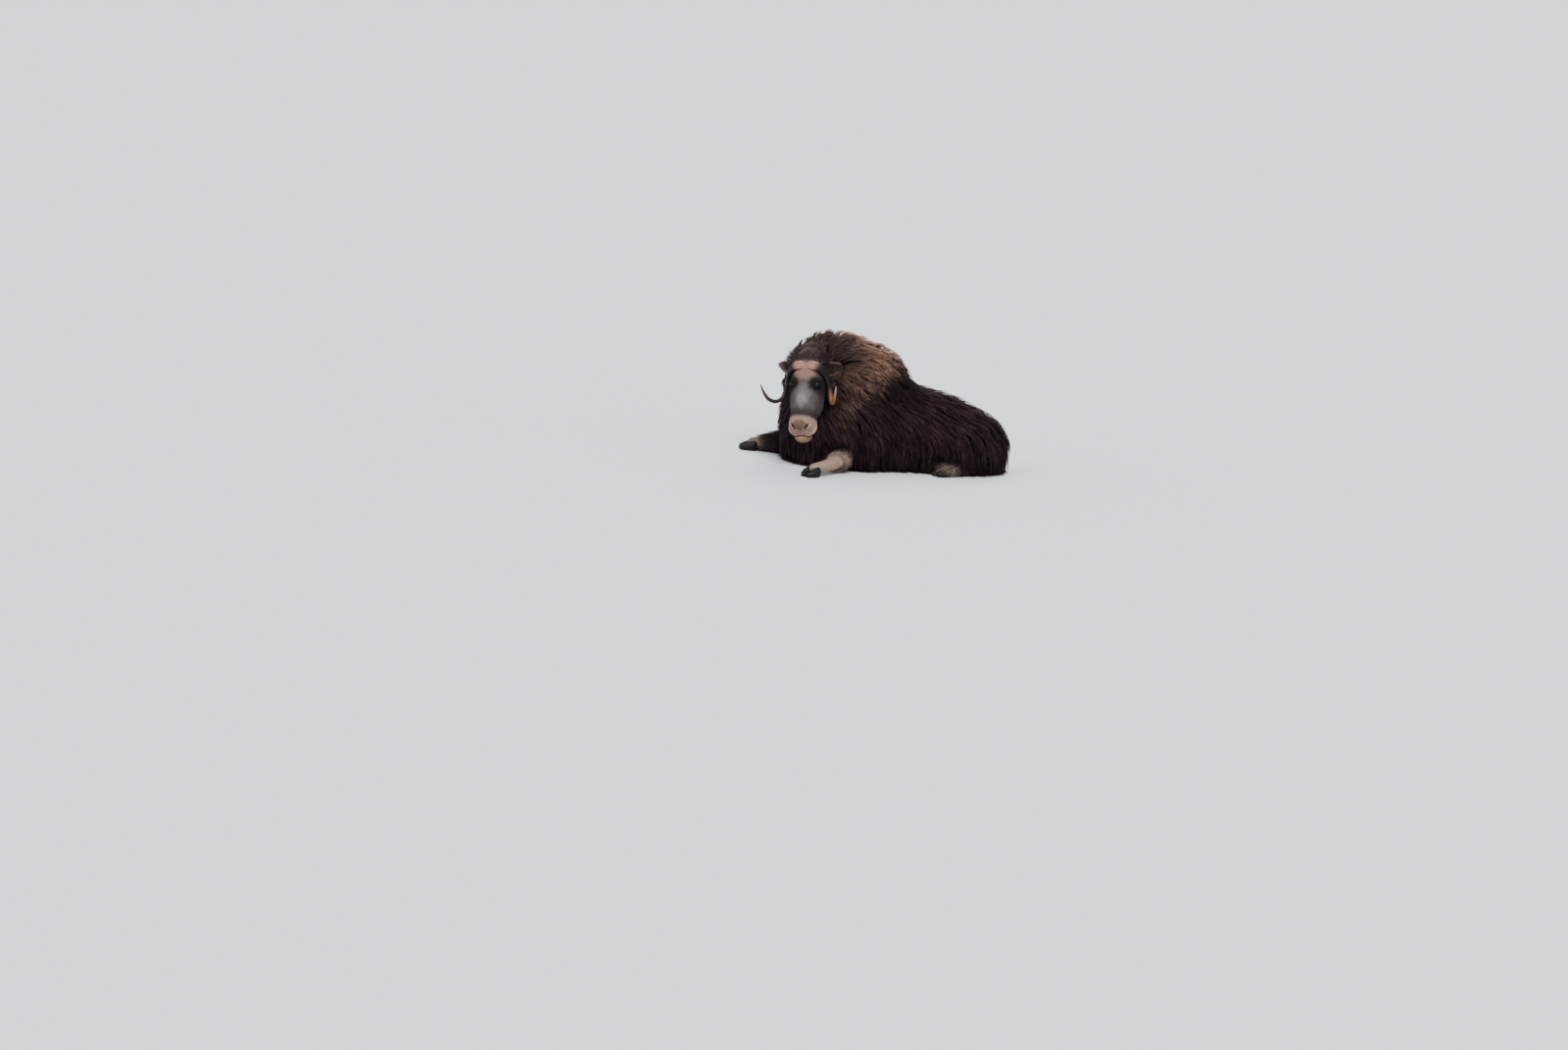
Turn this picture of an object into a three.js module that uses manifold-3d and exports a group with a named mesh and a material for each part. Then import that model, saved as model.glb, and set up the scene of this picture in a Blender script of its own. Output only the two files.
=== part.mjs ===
// A muskox cow at rest, life size, in millimetres: +X towards the chest, +Y to the animal's left, +Z up.
// She lies on her chest with the forelegs stretched out in front and the head turned to her left.
import * as THREE from "three";
import { mergeVertices } from "three/addons/utils/BufferGeometryUtils.js";
import Module from "manifold-3d";

const wasm = await Module();
wasm.setup();

// Driving dimensions
const HUMP_TOP = 640; // height of the skin over the shoulders
const CROUP_TOP = 318; // height of the skin over the pelvis
const BODY_BACK = -855; // X of the skin at the buttocks
const CHEST_WIDTH = 420;
const BELLY_WIDTH = 500;
const EYE_RADIUS = 19;
const EYE = [154, 69, -29]; // centre of the left eyeball, in the head's own frame
const HOOF_LENGTH = 98;
const HOOF_WIDTH = 46;
const GAP = 0.35; // clearance between pieces that touch
const BODY_COAT = 80; // depth of the coat to its tips
const HUMP_COAT = 110;
const FACE_COAT = 6;
const CORE_CELL = 68;
const CORE_SHARE = 0.42; // how far the dense inner coat reaches to the tips
const LOCK_SPACING = 99;
const MANE_SPACING = 82; // between the locks over the neck and the front of the hump
const LOCK_WIDTH = 142;
const LOCK_THICKNESS = 22;
const HEAD_CELL = 21;

const vec = (x, y, z) => new THREE.Vector3(x, y, z);
const degrees = THREE.MathUtils.degToRad;
const { clamp, lerp, smoothstep } = THREE.MathUtils;

// Distance functions, negative inside

function ellipsoid(centre, radii, tilt = 0) {
  const [cos, sin] = [Math.cos(degrees(tilt)), Math.sin(degrees(tilt))];
  return (p) => {
    const dx = p.x - centre[0];
    const dz = p.z - centre[2];
    const x = (dx * cos + dz * sin) / radii[0];
    const y = (p.y - centre[1]) / radii[1];
    const z = (dz * cos - dx * sin) / radii[2];
    const near = Math.hypot(x, y, z);
    const slope = Math.hypot(x / radii[0], y / radii[1], z / radii[2]);
    return slope < 1e-9 ? -Math.min(...radii) : (near * (near - 1)) / slope;
  };
}

// Tapered, round-ended lengths through points [x, y, z, radius]
function chain(points) {
  return (p) => {
    let best = Infinity;
    for (let i = 1; i < points.length; i++) {
      const [a, b] = [points[i - 1], points[i]];
      const d = [b[0] - a[0], b[1] - a[1], b[2] - a[2]];
      const q = [p.x - a[0], p.y - a[1], p.z - a[2]];
      const along = (q[0] * d[0] + q[1] * d[1] + q[2] * d[2]) / (d[0] ** 2 + d[1] ** 2 + d[2] ** 2);
      const t = clamp(along, 0, 1);
      const reach = Math.hypot(q[0] - t * d[0], q[1] - t * d[1], q[2] - t * d[2]);
      best = Math.min(best, reach - lerp(a[3], b[3], t));
    }
    return best;
  };
}

function melt(a, b, k) {
  const h = Math.max(k - Math.abs(a - b), 0) / k;
  return Math.min(a, b) - (h * h * k) / 4;
}

const melted = (forms, k) => (p) => forms.reduce((d, form) => melt(d, form(p), k), 1e6);
const mirrored = (form) => (p) => form({ x: p.x, y: Math.abs(p.y), z: p.z });

// The head's flesh, in its own frame: x from the poll to the nose, y to the left, z out of the forehead

const headForms = [
  ellipsoid([84, 0, -84], [96, 90, 78]),
  mirrored(ellipsoid([148, 44, -48], [48, 34, 32])),
  mirrored(ellipsoid([118, 58, -108], [84, 46, 56])),
  chain([
    [110, 0, -60, 60],
    [270, 0, -72, 56],
    [362, 0, -84, 46],
  ]),
  mirrored(ellipsoid([215, 48, -118], [120, 46, 76])),
  chain([
    [150, 0, -168, 54],
    [398, 0, -146, 34],
  ]),
  mirrored(ellipsoid([352, 36, -78], [56, 38, 38])),
  mirrored(ellipsoid([374, 38, -104], [62, 42, 34])),
];
const chin = ellipsoid([426, 0, -154], [38, 52, 32]);
const bareHead = (p) => melt(melted(headForms, 34)(p), chin(p), 16);

const POLL = vec(451, 150, 632);
const HEAD_TURN = new THREE.Euler(degrees(14.3), degrees(59), degrees(59.2), "ZYX");
const headMatrix = new THREE.Matrix4().makeRotationFromEuler(HEAD_TURN).setPosition(POLL);
const toHead = headMatrix.clone().invert();
const fromHead = (x, y, z) => vec(x, y, z).applyMatrix4(headMatrix);
const inHead = (p) => vec(p.x, p.y, p.z).applyMatrix4(toHead);

// The trunk's flesh and the neck, in the animal's frame

const trunk = melted(
  [
    ellipsoid([100, 0, 320], [300, CHEST_WIDTH / 2, 270]),
    ellipsoid([90, 0, HUMP_TOP - 170], [330, 118, 170], 10),
    ellipsoid([-260, 0, 190], [430, BELLY_WIDTH / 2, 220]),
    ellipsoid([BODY_BACK + 275, 0, CROUP_TOP - 160], [275, 215, 160], 8),
    mirrored(ellipsoid([-590, 160, 150], [245, 115, 145])),
    mirrored(ellipsoid([90, 175, 200], [180, 90, 190])),
    ellipsoid([290, 20, 185], [140, 160, 175]),
  ],
  80,
);
const WITHERS = vec(185, 0, 475);
const NAPE = fromHead(28, 0, -95);
const neckFlesh = chain([
  [...WITHERS.toArray(), 168],
  [...WITHERS.clone().lerp(NAPE, 0.6).toArray(), 160],
  [...NAPE.toArray(), 112],
]);
const throatFlesh = chain([
  [230, 10, 270, 140],
  [...fromHead(110, 0, -150).toArray(), 75],
]);
const headless = (p) => melt(melt(trunk(p), neckFlesh(p), 70), throatFlesh(p), 80);

// Where the neck leaves the head
const COLLAR_NORMAL = WITHERS.clone().sub(NAPE).normalize();
const COLLAR_POINT = fromHead(62, 0, -72).addScaledVector(COLLAR_NORMAL, 70);

const COLLAR = { point: COLLAR_POINT, normal: COLLAR_NORMAL };
const past = ({ point, normal }, p) => normal.dot(vec(p.x, p.y, p.z).sub(point));

// Depth of the coat over the skin, deepest in the mane over the hump
function coatDepth(p) {
  const mane = smoothstep(p.z, 360, 560) * smoothstep(p.x, -260, -180);
  const fromCollar = past(COLLAR, p);
  return lerp(BODY_COAT, HUMP_COAT, mane) * lerp(0.4, 1, smoothstep(fromCollar, -20, 80));
}

// Closed meshes

const CUBE_EDGES = [];
for (let axis = 0; axis < 3; axis++) {
  for (const [u, v] of [[0, 0], [1, 0], [0, 1], [1, 1]]) {
    const from = [0, 0, 0];
    from[(axis + 1) % 3] = u;
    from[(axis + 2) % 3] = v;
    const to = [...from];
    to[axis] = 1;
    CUBE_EDGES.push([from, to]);
  }
}

function slopeOf(distance, p, step = 1) {
  const side = (dx, dy, dz) => distance(vec(p.x + dx, p.y + dy, p.z + dz));
  return vec(
    side(step, 0, 0) - side(-step, 0, 0),
    side(0, step, 0) - side(0, -step, 0),
    side(0, 0, step) - side(0, 0, -step),
  ).divideScalar(2 * step);
}

// Moves a point onto the surface of a distance function
function settle(distance, p, reach) {
  for (let turn = 0; turn < 2; turn++) {
    const slope = slopeOf(distance, p);
    const move = clamp(distance(p) / Math.max(slope.lengthSq(), 0.05), -reach, reach);
    p.addScaledVector(slope, -move);
  }
  return p;
}

// The surface of a distance function: one vertex in each lattice cell that it crosses
function surface(distance, low, high, cell) {
  const size = low.map((from, i) => Math.ceil((high[i] - from) / cell) + 1);
  const index = (i, j, k) => (k * size[1] + j) * size[0] + i;
  const values = new Float64Array(size[0] * size[1] * size[2]);
  const place = (i, j, k) => vec(low[0] + i * cell, low[1] + j * cell, low[2] + k * cell);
  for (let k = 0; k < size[2]; k++) {
    for (let j = 0; j < size[1]; j++) {
      for (let i = 0; i < size[0]; i++) values[index(i, j, k)] = distance(place(i, j, k));
    }
  }
  const vertices = [];
  const faces = [];
  const known = new Map();
  function cellVertex(c) {
    const key = index(...c);
    if (known.has(key)) return known.get(key);
    const mean = vec(0, 0, 0);
    let crossings = 0;
    for (const [from, to] of CUBE_EDGES) {
      const a = [c[0] + from[0], c[1] + from[1], c[2] + from[2]];
      const b = [c[0] + to[0], c[1] + to[1], c[2] + to[2]];
      const [va, vb] = [values[index(...a)], values[index(...b)]];
      if (va < 0 === vb < 0) continue;
      mean.add(place(...a).lerp(place(...b), va / (va - vb)));
      crossings++;
    }
    settle(distance, mean.divideScalar(crossings), cell * 0.3);
    known.set(key, vertices.length);
    vertices.push(mean);
    return vertices.length - 1;
  }
  for (let axis = 0; axis < 3; axis++) {
    const [u, v] = [(axis + 1) % 3, (axis + 2) % 3];
    const c = [0, 0, 0];
    for (c[2] = 0; c[2] < size[2] - (axis === 2); c[2]++) {
      for (c[1] = 0; c[1] < size[1] - (axis === 1); c[1]++) {
        for (c[0] = 0; c[0] < size[0] - (axis === 0); c[0]++) {
          const next = [...c];
          next[axis]++;
          const inside = values[index(...c)] < 0;
          if (inside === values[index(...next)] < 0) continue;
          const around = [[-1, -1], [0, -1], [0, 0], [-1, 0]].map(([du, dv]) => {
            const cellAt = [...c];
            cellAt[u] += du;
            cellAt[v] += dv;
            return cellVertex(cellAt);
          });
          if (!inside) around.reverse();
          const [p, q, r, s] = around;
          const straight = vertices[p].distanceTo(vertices[r]) < vertices[q].distanceTo(vertices[s]);
          if (straight) faces.push([p, q, r], [p, r, s]);
          else faces.push([p, q, s], [q, r, s]);
        }
      }
    }
  }
  return closedSolid(vertices, faces);
}

function closedSolid(vertices, faces) {
  const vertProperties = new Float32Array(vertices.flatMap((p) => [p.x, p.y, p.z]));
  const triVerts = new Uint32Array(faces.flat());
  return new wasm.Manifold(new wasm.Mesh({ numProp: 3, vertProperties, triVerts }));
}

function solidOf(geometry) {
  geometry.deleteAttribute("normal");
  geometry.deleteAttribute("uv");
  const merged = mergeVertices(geometry, 1e-3);
  const vertProperties = new Float32Array(merged.attributes.position.array);
  const triVerts = new Uint32Array(merged.index.array);
  return new wasm.Manifold(new wasm.Mesh({ numProp: 3, vertProperties, triVerts }));
}

// A closed form through rings of points; a ring of one point is a tip
function loft(rings) {
  const vertices = rings.flat();
  const faces = [];
  const starts = rings.map((_, i) => rings.slice(0, i).reduce((n, ring) => n + ring.length, 0));
  for (let i = 1; i < rings.length; i++) {
    const [a, b] = [rings[i - 1].length, rings[i].length];
    for (let j = 0; j < Math.max(a, b); j++) {
      const k = j + 1;
      const [p, q] = [starts[i - 1] + (j % a), starts[i - 1] + (k % a)];
      const [r, s] = [starts[i] + (j % b), starts[i] + (k % b)];
      if (a > 1) faces.push([p, q, r]);
      if (b > 1) faces.push([q, s, r]);
    }
  }
  const cap = (ring, start, flip) => {
    for (let j = 1; j < ring.length - 1; j++) {
      faces.push(flip ? [start, start + j + 1, start + j] : [start, start + j, start + j + 1]);
    }
  };
  cap(rings[0], 0, true);
  cap(rings.at(-1), starts.at(-1), false);
  return closedSolid(vertices, faces);
}

// Rings across a smooth path through stations [x, y, z, half width, half height].
// Up is where the height points.
function sweepRings(stations, up, count, sides) {
  const curve = new THREE.CatmullRomCurve3(stations.map((s) => vec(s[0], s[1], s[2])), false, "centripetal");
  const rings = [];
  let width = vec(0, 0, 0).crossVectors(up, curve.getTangent(0));
  for (let i = 0; i <= count; i++) {
    const t = i / count;
    const centre = curve.getPoint(t);
    const along = curve.getTangent(t);
    width = width.projectOnPlane(along).normalize();
    const height = vec(0, 0, 0).crossVectors(along, width);
    const whole = Math.min(Math.floor(t * (stations.length - 1)), stations.length - 2);
    const part = t * (stations.length - 1) - whole;
    const [here, next] = [stations[whole], stations[whole + 1]];
    const [a, b] = [lerp(here[3], next[3], part), lerp(here[4], next[4], part)];
    const ring = [];
    for (let j = 0; j < sides; j++) {
      const turn = (2 * Math.PI * j) / sides;
      const spot = centre.clone().addScaledVector(width, a * Math.cos(turn));
      ring.push(spot.addScaledVector(height, b * Math.sin(turn)));
    }
    rings.push(ring);
  }
  return rings;
}

const sweep = (stations, up, count, sides) => loft(sweepRings(stations, up, count, sides));

// The same solid with each face moved out by the clearance
function grown(solid, by = GAP) {
  const joined = mergeVertices(geometryOf(solid), 1e-4);
  joined.computeVertexNormals();
  const vertices = [];
  for (let i = 0; i < joined.attributes.position.count; i++) {
    const place = vec(0, 0, 0).fromBufferAttribute(joined.attributes.position, i);
    vertices.push(place.addScaledVector(vec(0, 0, 0).fromBufferAttribute(joined.attributes.normal, i), by));
  }
  const faces = [];
  for (let i = 0; i < joined.index.count; i += 3) faces.push([0, 1, 2].map((j) => joined.index.getX(i + j)));
  return closedSolid(vertices, faces);
}

const HALF = 3000; // half the side of the block that stands for a half space
function beyond(point, normal) {
  const block = new THREE.BoxGeometry(2 * HALF, 2 * HALF, 2 * HALF);
  block.translate(0, 0, HALF);
  block.applyQuaternion(new THREE.Quaternion().setFromUnitVectors(vec(0, 0, 1), normal.clone().normalize()));
  block.translate(point.x, point.y, point.z);
  return solidOf(block);
}

const joinedAll = (solids) => solids.reduce((a, b) => a.add(b));
const largest = (solid) => solid.decompose().reduce((a, b) => (a.volume() > b.volume() ? a : b));

function geometryOf(solid) {
  const mesh = solid.getMesh();
  const places = new Float32Array(mesh.numVert * 3);
  for (let i = 0; i < places.length; i++) {
    places[i] = mesh.vertProperties[Math.floor(i / 3) * mesh.numProp + (i % 3)];
  }
  const geometry = new THREE.BufferGeometry();
  geometry.setAttribute("position", new THREE.BufferAttribute(places, 3));
  geometry.setIndex([...mesh.triVerts]);
  return geometry;
}

const sides = { left: 1, right: -1 };
const flip = (stations, side) => stations.map((s) => [s[0], s[1] * side, ...s.slice(2)]);

// Head, eyes, horns and ears, in the head's frame

const eyeSolid = (side) => {
  const ball = new THREE.SphereGeometry(EYE_RADIUS, 11, 7);
  ball.translate(EYE[0], EYE[1] * side, EYE[2]);
  return solidOf(ball);
};

const inBody = (solid) => solid.transform(headMatrix.elements);
const inHeadFrame = (solid) => solid.transform(toHead.elements);

const skull = surface((p) => bareHead(p) - FACE_COAT, [-90, -150, -290], [520, 150, 60], HEAD_CELL);

// A lid is an arc about the eye, thick in its middle and thin at both corners
function lidSolid(side, upper) {
  const outward = vec(0.12, 0.72 * side, 0.68).normalize();
  const forward = vec(1, 0, 0).projectOnPlane(outward).normalize();
  const above = vec(0, 0, 0).crossVectors(outward, forward).multiplyScalar(side);
  const stations = [];
  for (let i = 0; i <= 6; i++) {
    const turn = Math.PI * (i / 6);
    const rise = (upper ? 13 : -11) * Math.sin(turn);
    const spot = vec(EYE[0], EYE[1] * side, EYE[2])
      .addScaledVector(forward, 27 * Math.cos(turn))
      .addScaledVector(above, rise)
      .addScaledVector(outward, lerp(8, 15, Math.sin(turn)));
    const heavy = lerp(0.45, 1, Math.sin(turn));
    stations.push([...spot.toArray(), (upper ? 9 : 7) * heavy, 7 * heavy]);
  }
  return sweep(stations, outward, 8, 6);
}

const faceSurface = (p) => bareHead(p) - FACE_COAT;
const onFace = (x, y, z) => settle(faceSurface, vec(x, y, z), 40).toArray();

// The line between the lips, cut in from one corner round the front to the other
function mouthCut() {
  const stations = [];
  for (let i = 0; i <= 8; i++) {
    const turn = lerp(-0.5, 0.5, i / 8) * Math.PI;
    const place = onFace(332 + 104 * Math.cos(turn), 84 * Math.sin(turn), -122 - 10 * Math.sin(turn) ** 2);
    stations.push([...place, 13, 2.4]);
  }
  return sweep(stations, vec(0, 0, 1), 10, 4);
}

// A nostril is a comma, wide near the middle and turned out to a thin tail
const nostrilCut = (side) =>
  sweep(
    [
      [...onFace(408, 32 * side, -86), 4, 7],
      [...onFace(403, 40 * side, -74), 8, 10],
      [...onFace(394, 48 * side, -66), 8, 10],
      [...onFace(385, 56 * side, -64), 4, 7],
      [...onFace(375, 63 * side, -68), 2, 3],
    ],
    vec(1, 0, 0),
    6,
    6,
  );

const HORN = [
  [46, 5, 0, 27, 12],
  [46, 34, 4, 30, 16],
  [54, 74, -3, 29, 16],
  [84, 112, -48, 21, 13],
  [142, 129, -99, 16, 13],
  [208, 147, -106, 14, 12],
  [250, 171, -66, 12, 11],
  [258, 198, -12, 11, 10],
  [236, 217, 38, 8, 7],
  [206, 228, 74, 3, 3],
];
const hornSolid = (side) => sweep(flip(HORN, side), vec(-0.35, 0.2 * side, 1), 16, 10);

// An ear is a cupped leaf: each ring runs across the inner face and back across the outer one.
// With room, it is that much larger all round.
function earSolid(side, room = 0) {
  const root = vec(40, 88 * side, -84);
  const tip = vec(2, 202 * side, -92);
  const along = tip.clone().sub(root);
  const length = along.length();
  along.normalize();
  const facing = vec(0.45, 0.1 * side, 0.9).projectOnPlane(along).normalize();
  const across = vec(0, 0, 0).crossVectors(along, facing);
  const steps = 7;
  const halfAcross = 4;
  const rings = [];
  for (let i = 0; i <= steps; i++) {
    const t = i / steps;
    const width = 40 * Math.sin(Math.PI * Math.min(0.28 + 0.72 * t, 0.97)) ** 0.7;
    const reach = lerp(-room, length + room, t);
    const cup = 24 * (1 - 0.75 * t);
    const thick = lerp(12, 5, t);
    const [inner, outer] = [[], []];
    for (let j = -halfAcross; j <= halfAcross; j++) {
      const v = ((j / halfAcross) * (width + room)) / width;
      const bend = cup * (v * v - 0.5);
      const spot = root.clone().addScaledVector(along, reach).addScaledVector(across, v * width);
      inner.push(spot.clone().addScaledVector(facing, bend + room));
      const behindFace = bend - thick * (1 - 0.6 * Math.min(v * v, 1)) - room;
      outer.unshift(spot.clone().addScaledVector(facing, behindFace));
    }
    rings.push([...inner, ...outer]);
  }
  return ringStrip(rings);
}

// A closed sheet through rings that run out along one face and back along the other
function ringStrip(rings) {
  const vertices = rings.flat();
  const n = rings[0].length;
  const faces = [];
  for (let i = 1; i < rings.length; i++) {
    for (let j = 0; j < n; j++) {
      const [p, q] = [(i - 1) * n + j, (i - 1) * n + ((j + 1) % n)];
      const [r, s] = [p + n, q + n];
      faces.push([p, q, r], [q, s, r]);
    }
  }
  const cap = (start, flipped) => {
    for (let j = 0; j < n / 2 - 1; j++) {
      const [a, b, c, d] = [start + j, start + j + 1, start + n - 2 - j, start + n - 1 - j];
      if (flipped) faces.push([a, c, b], [a, d, c]);
      else faces.push([a, b, c], [a, c, d]);
    }
  };
  cap(0, true);
  cap((rings.length - 1) * n, false);
  return closedSolid(vertices, faces);
}

// Legs, each a path of joints from inside the body to the hoof

const LEGS = {
  foreleg_left: [
    [60, 170, 140, 70, 66],
    [180, 262, 105, 56, 56],
    [275, 345, 74, 45, 46],
    [350, 405, 58, 35, 39],
    [425, 447, 50, 34, 37],
    [480, 470, 44, 33, 33],
  ],
  foreleg_right: [
    [60, -160, 130, 70, 66],
    [220, -204, 88, 64, 66],
    [345, -244, 64, 54, 58],
    [425, -272, 52, 40, 46],
    [480, -290, 46, 35, 38],
    [515, -300, 44, 33, 33],
  ],
  hindleg_left: [
    [-740, 170, 70, 60, 62],
    [-700, 235, 64, 50, 55],
    [-610, 275, 56, 38, 45],
    [-540, 302, 48, 32, 38],
    [-480, 322, 46, 32, 36],
    [-430, 336, 42, 32, 32],
  ],
  hindleg_right: [
    [-760, -190, 70, 60, 62],
    [-730, -262, 66, 50, 55],
    [-660, -310, 56, 38, 45],
    [-590, -340, 48, 32, 38],
    [-530, -356, 46, 32, 36],
    [-480, -368, 42, 32, 32],
  ],
};

const TAIL = [
  [BODY_BACK + 5, 0, 262, 28, 28],
  [BODY_BACK - 48, 0, 230, 32, 24],
  [BODY_BACK - 70, 0, 176, 24, 16],
  [BODY_BACK - 74, 0, 128, 8, 6],
];

const legSolid = (stations) => sweep(stations, vec(0, 0, 1), 10, 9);

// A claw points on from the end of its leg: flat below, rounded in front and outside
function clawSolid(leg, side) {
  const [before, end] = [leg.at(-2), leg.at(-1)];
  const ahead = vec(end[0] - before[0], end[1] - before[1], 0).normalize();
  const across = vec(-ahead.y, ahead.x, 0);
  const [steps, around] = [4, 8];
  const rings = [];
  for (let i = 0; i <= steps; i++) {
    const t = i / steps;
    const width = (HOOF_WIDTH / 2) * Math.sqrt(1 - 0.72 * t ** 4);
    const top = lerp(62, 26, t ** 1.6);
    const middle = vec(end[0], end[1], top / 2)
      .addScaledVector(ahead, t * HOOF_LENGTH - 20)
      .addScaledVector(across, side * (width + 2 + 4 * t));
    const ring = [];
    for (let j = 0; j < around; j++) {
      const turn = (2 * Math.PI * (j + 0.5)) / around;
      const spot = middle.clone().addScaledVector(across, width * Math.cos(turn));
      const rise = Math.sin(turn) * Math.cos(Math.PI / around);
      const sole = lerp(middle.z, 0, Math.min(-rise * 1.2, 1));
      ring.push(spot.setZ(rise < 0 ? sole : middle.z + (top / 2) * rise));
    }
    rings.push(ring);
  }
  return loft(rings);
}

// Locks of the coat, in the animal's frame

// Evenly spread draws between 0 and 1, the same on each run
function drawsFrom(seed) {
  let state = seed;
  return () => {
    state = (Math.imul(state, 1664525) + 1013904223) >>> 0;
    return state / 2 ** 32;
  };
}
const draw = drawsFrom(11);
const between = (low, high) => lerp(low, high, draw());

// How far out in the coat a point is: 0 on the skin, 1 at the tips
const reachOut = (p) => headless(p) / coatDepth(p);

// The way the coat lies: back and down over the body, straight down in the skirt, beard and chest
function lieAt(p) {
  const low = 1 - smoothstep(p.z, 130, 430);
  const side = clamp(p.y / 130, -1, 1);
  const lie = vec(lerp(-0.9, -0.22, low), lerp(0.65, 0.1, low) * side, lerp(-0.35, -1, low));
  lie.lerp(vec(-0.5, 0.2 * side, -0.9), smoothstep(-p.x, 620, 800));
  lie.lerp(vec(0.08, 0.15 * side, -1), smoothstep(p.x, 330, 430));
  const fromCollar = past(COLLAR, p);
  const mane = COLLAR_NORMAL.clone().add(vec(0, 0, -0.9 * (1 - smoothstep(p.z, 480, 620))));
  return lie.lerp(mane, 1 - smoothstep(fromCollar, 80, 260)).normalize();
}

// Points spread over the core's faces, closer in the mane than elsewhere
function rootsOn(core) {
  const mesh = core.getMesh();
  const corner = (i) => vec(...mesh.vertProperties.slice(i * mesh.numProp, i * mesh.numProp + 3));
  const faces = [];
  let area = 0;
  for (let i = 0; i < mesh.triVerts.length; i += 3) {
    const [a, b, c] = [0, 1, 2].map((j) => corner(mesh.triVerts[i + j]));
    area += b.clone().sub(a).cross(c.clone().sub(a)).length() / 2;
    faces.push({ a, b, c, upTo: area });
  }
  const roots = [];
  for (let turn = 0; turn < 12000; turn++) {
    const wanted = draw() * area;
    const { a, b, c } = faces.find((face) => face.upTo >= wanted);
    const [u, v] = [Math.sqrt(draw()), draw()];
    const p = vec(0, 0, 0)
      .addScaledVector(a, 1 - u)
      .addScaledVector(b, u * (1 - v))
      .addScaledVector(c, u * v);
    const mane = 1 - smoothstep(past(COLLAR, p), 130, 260);
    const spacing = lerp(LOCK_SPACING, MANE_SPACING, mane);
    if (roots.every((other) => other.distanceTo(p) > spacing)) roots.push(p);
  }
  return roots;
}

// The path of a lock: out of the core, then along the lie of the coat, rising to its tips
function lockPath(root, length, rise, blocked) {
  const [steps, p] = [14, root.clone()];
  const sway = between(-0.22, 0.22);
  const path = [];
  for (let i = 0; i <= steps; i++) {
    const t = i / steps;
    const wanted = lerp(CORE_SHARE - 0.3, 0.98, 1 - Math.exp((-t * length) / rise));
    for (let turn = 0; turn < 2; turn++) {
      const slope = slopeOf(reachOut, p);
      const move = clamp((wanted - reachOut(p)) / slope.length(), -25, 25);
      p.addScaledVector(slope.normalize(), move);
    }
    if (i > 2 && blocked(p)) break;
    const out = slopeOf(reachOut, p).normalize();
    path.push({ place: p.clone(), out });
    const along = lieAt(p).projectOnPlane(out);
    along.addScaledVector(vec(0, 0, 0).crossVectors(out, along), sway * Math.sin(Math.PI * t)).normalize();
    p.addScaledVector(along, length / steps);
  }
  return path;
}

// A flat, tapered lock along its path, with a low ridge on top and its width lying on the coat
function lockSolid(path, width) {
  const at = (t) => path[Math.round(t * (path.length - 1))];
  const shape = [
    [0, 0.5, 0.9],
    [0.34, 1, 1],
    [0.7, 0.74, 0.7],
  ];
  const rings = shape.map(([t, wide, thick]) => {
    const { place, out } = at(t);
    const along = at(Math.min(t + 0.15, 1)).place.clone().sub(at(Math.max(t - 0.15, 0)).place).normalize();
    const across = vec(0, 0, 0).crossVectors(out, along).normalize().multiplyScalar((width * wide) / 2);
    const up = vec(0, 0, 0).crossVectors(along, across).normalize().multiplyScalar(LOCK_THICKNESS * thick);
    return [across, up, across.clone().negate()].map((side) => place.clone().add(side));
  });
  return loft([...rings, [at(1).place]]);
}

// Materials

const material = (color, roughness) => new THREE.MeshStandardMaterial({ color, roughness });
const DARK_COAT = material(0x2a201d, 0.85);
const MANE = material(0x9a7a62, 0.9);
const FACE = material(0x8b7a70, 0.85);
const HORN_SHEATH = material(0x7a6150, 0.5);
const EYE_SURFACE = material(0x120c0a, 0.1);
const STOCKING = material(0xb9a184, 0.9);
const HOOF = material(0x2e2a29, 0.5);

function named(name, solid, finish) {
  const geometry = geometryOf(largest(solid));
  geometry.computeVertexNormals();
  const mesh = new THREE.Mesh(geometry, finish);
  mesh.name = name;
  return mesh;
}

const muskox = new THREE.Group();
const headGroup = new THREE.Group();
headGroup.position.copy(POLL);
headGroup.rotation.copy(HEAD_TURN);
muskox.add(headGroup);

const floorSide = beyond(vec(0, 0, 0), vec(0, 0, 1));
// The neck's first length and the throat's, which the head carries as far as its collar
const neckStart = chain([
  [40, 0, -95, 98],
  [...inHead(NAPE.clone().addScaledVector(COLLAR_NORMAL, 120)).toArray(), 108],
]);
const throatStart = chain([
  [110, 0, -150, 72],
  [...inHead(fromHead(110, 0, -150).addScaledVector(COLLAR_NORMAL, 100)).toArray(), 85],
]);
const wholeHead = surface(
  (p) => melt(bareHead(p), Math.min(neckStart(p), throatStart(p)), 50) - FACE_COAT,
  [-120, -170, -380],
  [520, 260, 60],
  HEAD_CELL,
);

let headSolid = wholeHead.intersect(inHeadFrame(beyond(COLLAR_POINT, COLLAR_NORMAL.clone().negate())));
for (const side of Object.values(sides)) {
  headSolid = headSolid.add(lidSolid(side, true)).add(lidSolid(side, false));
  headSolid = headSolid.subtract(grown(eyeSolid(side))).subtract(nostrilCut(side));
}
headSolid = headSolid.subtract(mouthCut());
const headNodes = [["head", headSolid, FACE]];
const headRoom = grown(wholeHead);
for (const [name, side] of Object.entries(sides)) {
  const horn = hornSolid(side).subtract(headRoom);
  headNodes.push([`eye_${name}`, eyeSolid(side), EYE_SURFACE]);
  headNodes.push([`horn_${name}`, horn, HORN_SHEATH]);
  const ear = earSolid(side).subtract(headRoom).subtract(grown(hornSolid(side)));
  headNodes.push([`ear_${name}`, ear, DARK_COAT]);
}
for (const [name, solid, finish] of headNodes) headGroup.add(named(name, solid, finish));

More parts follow.
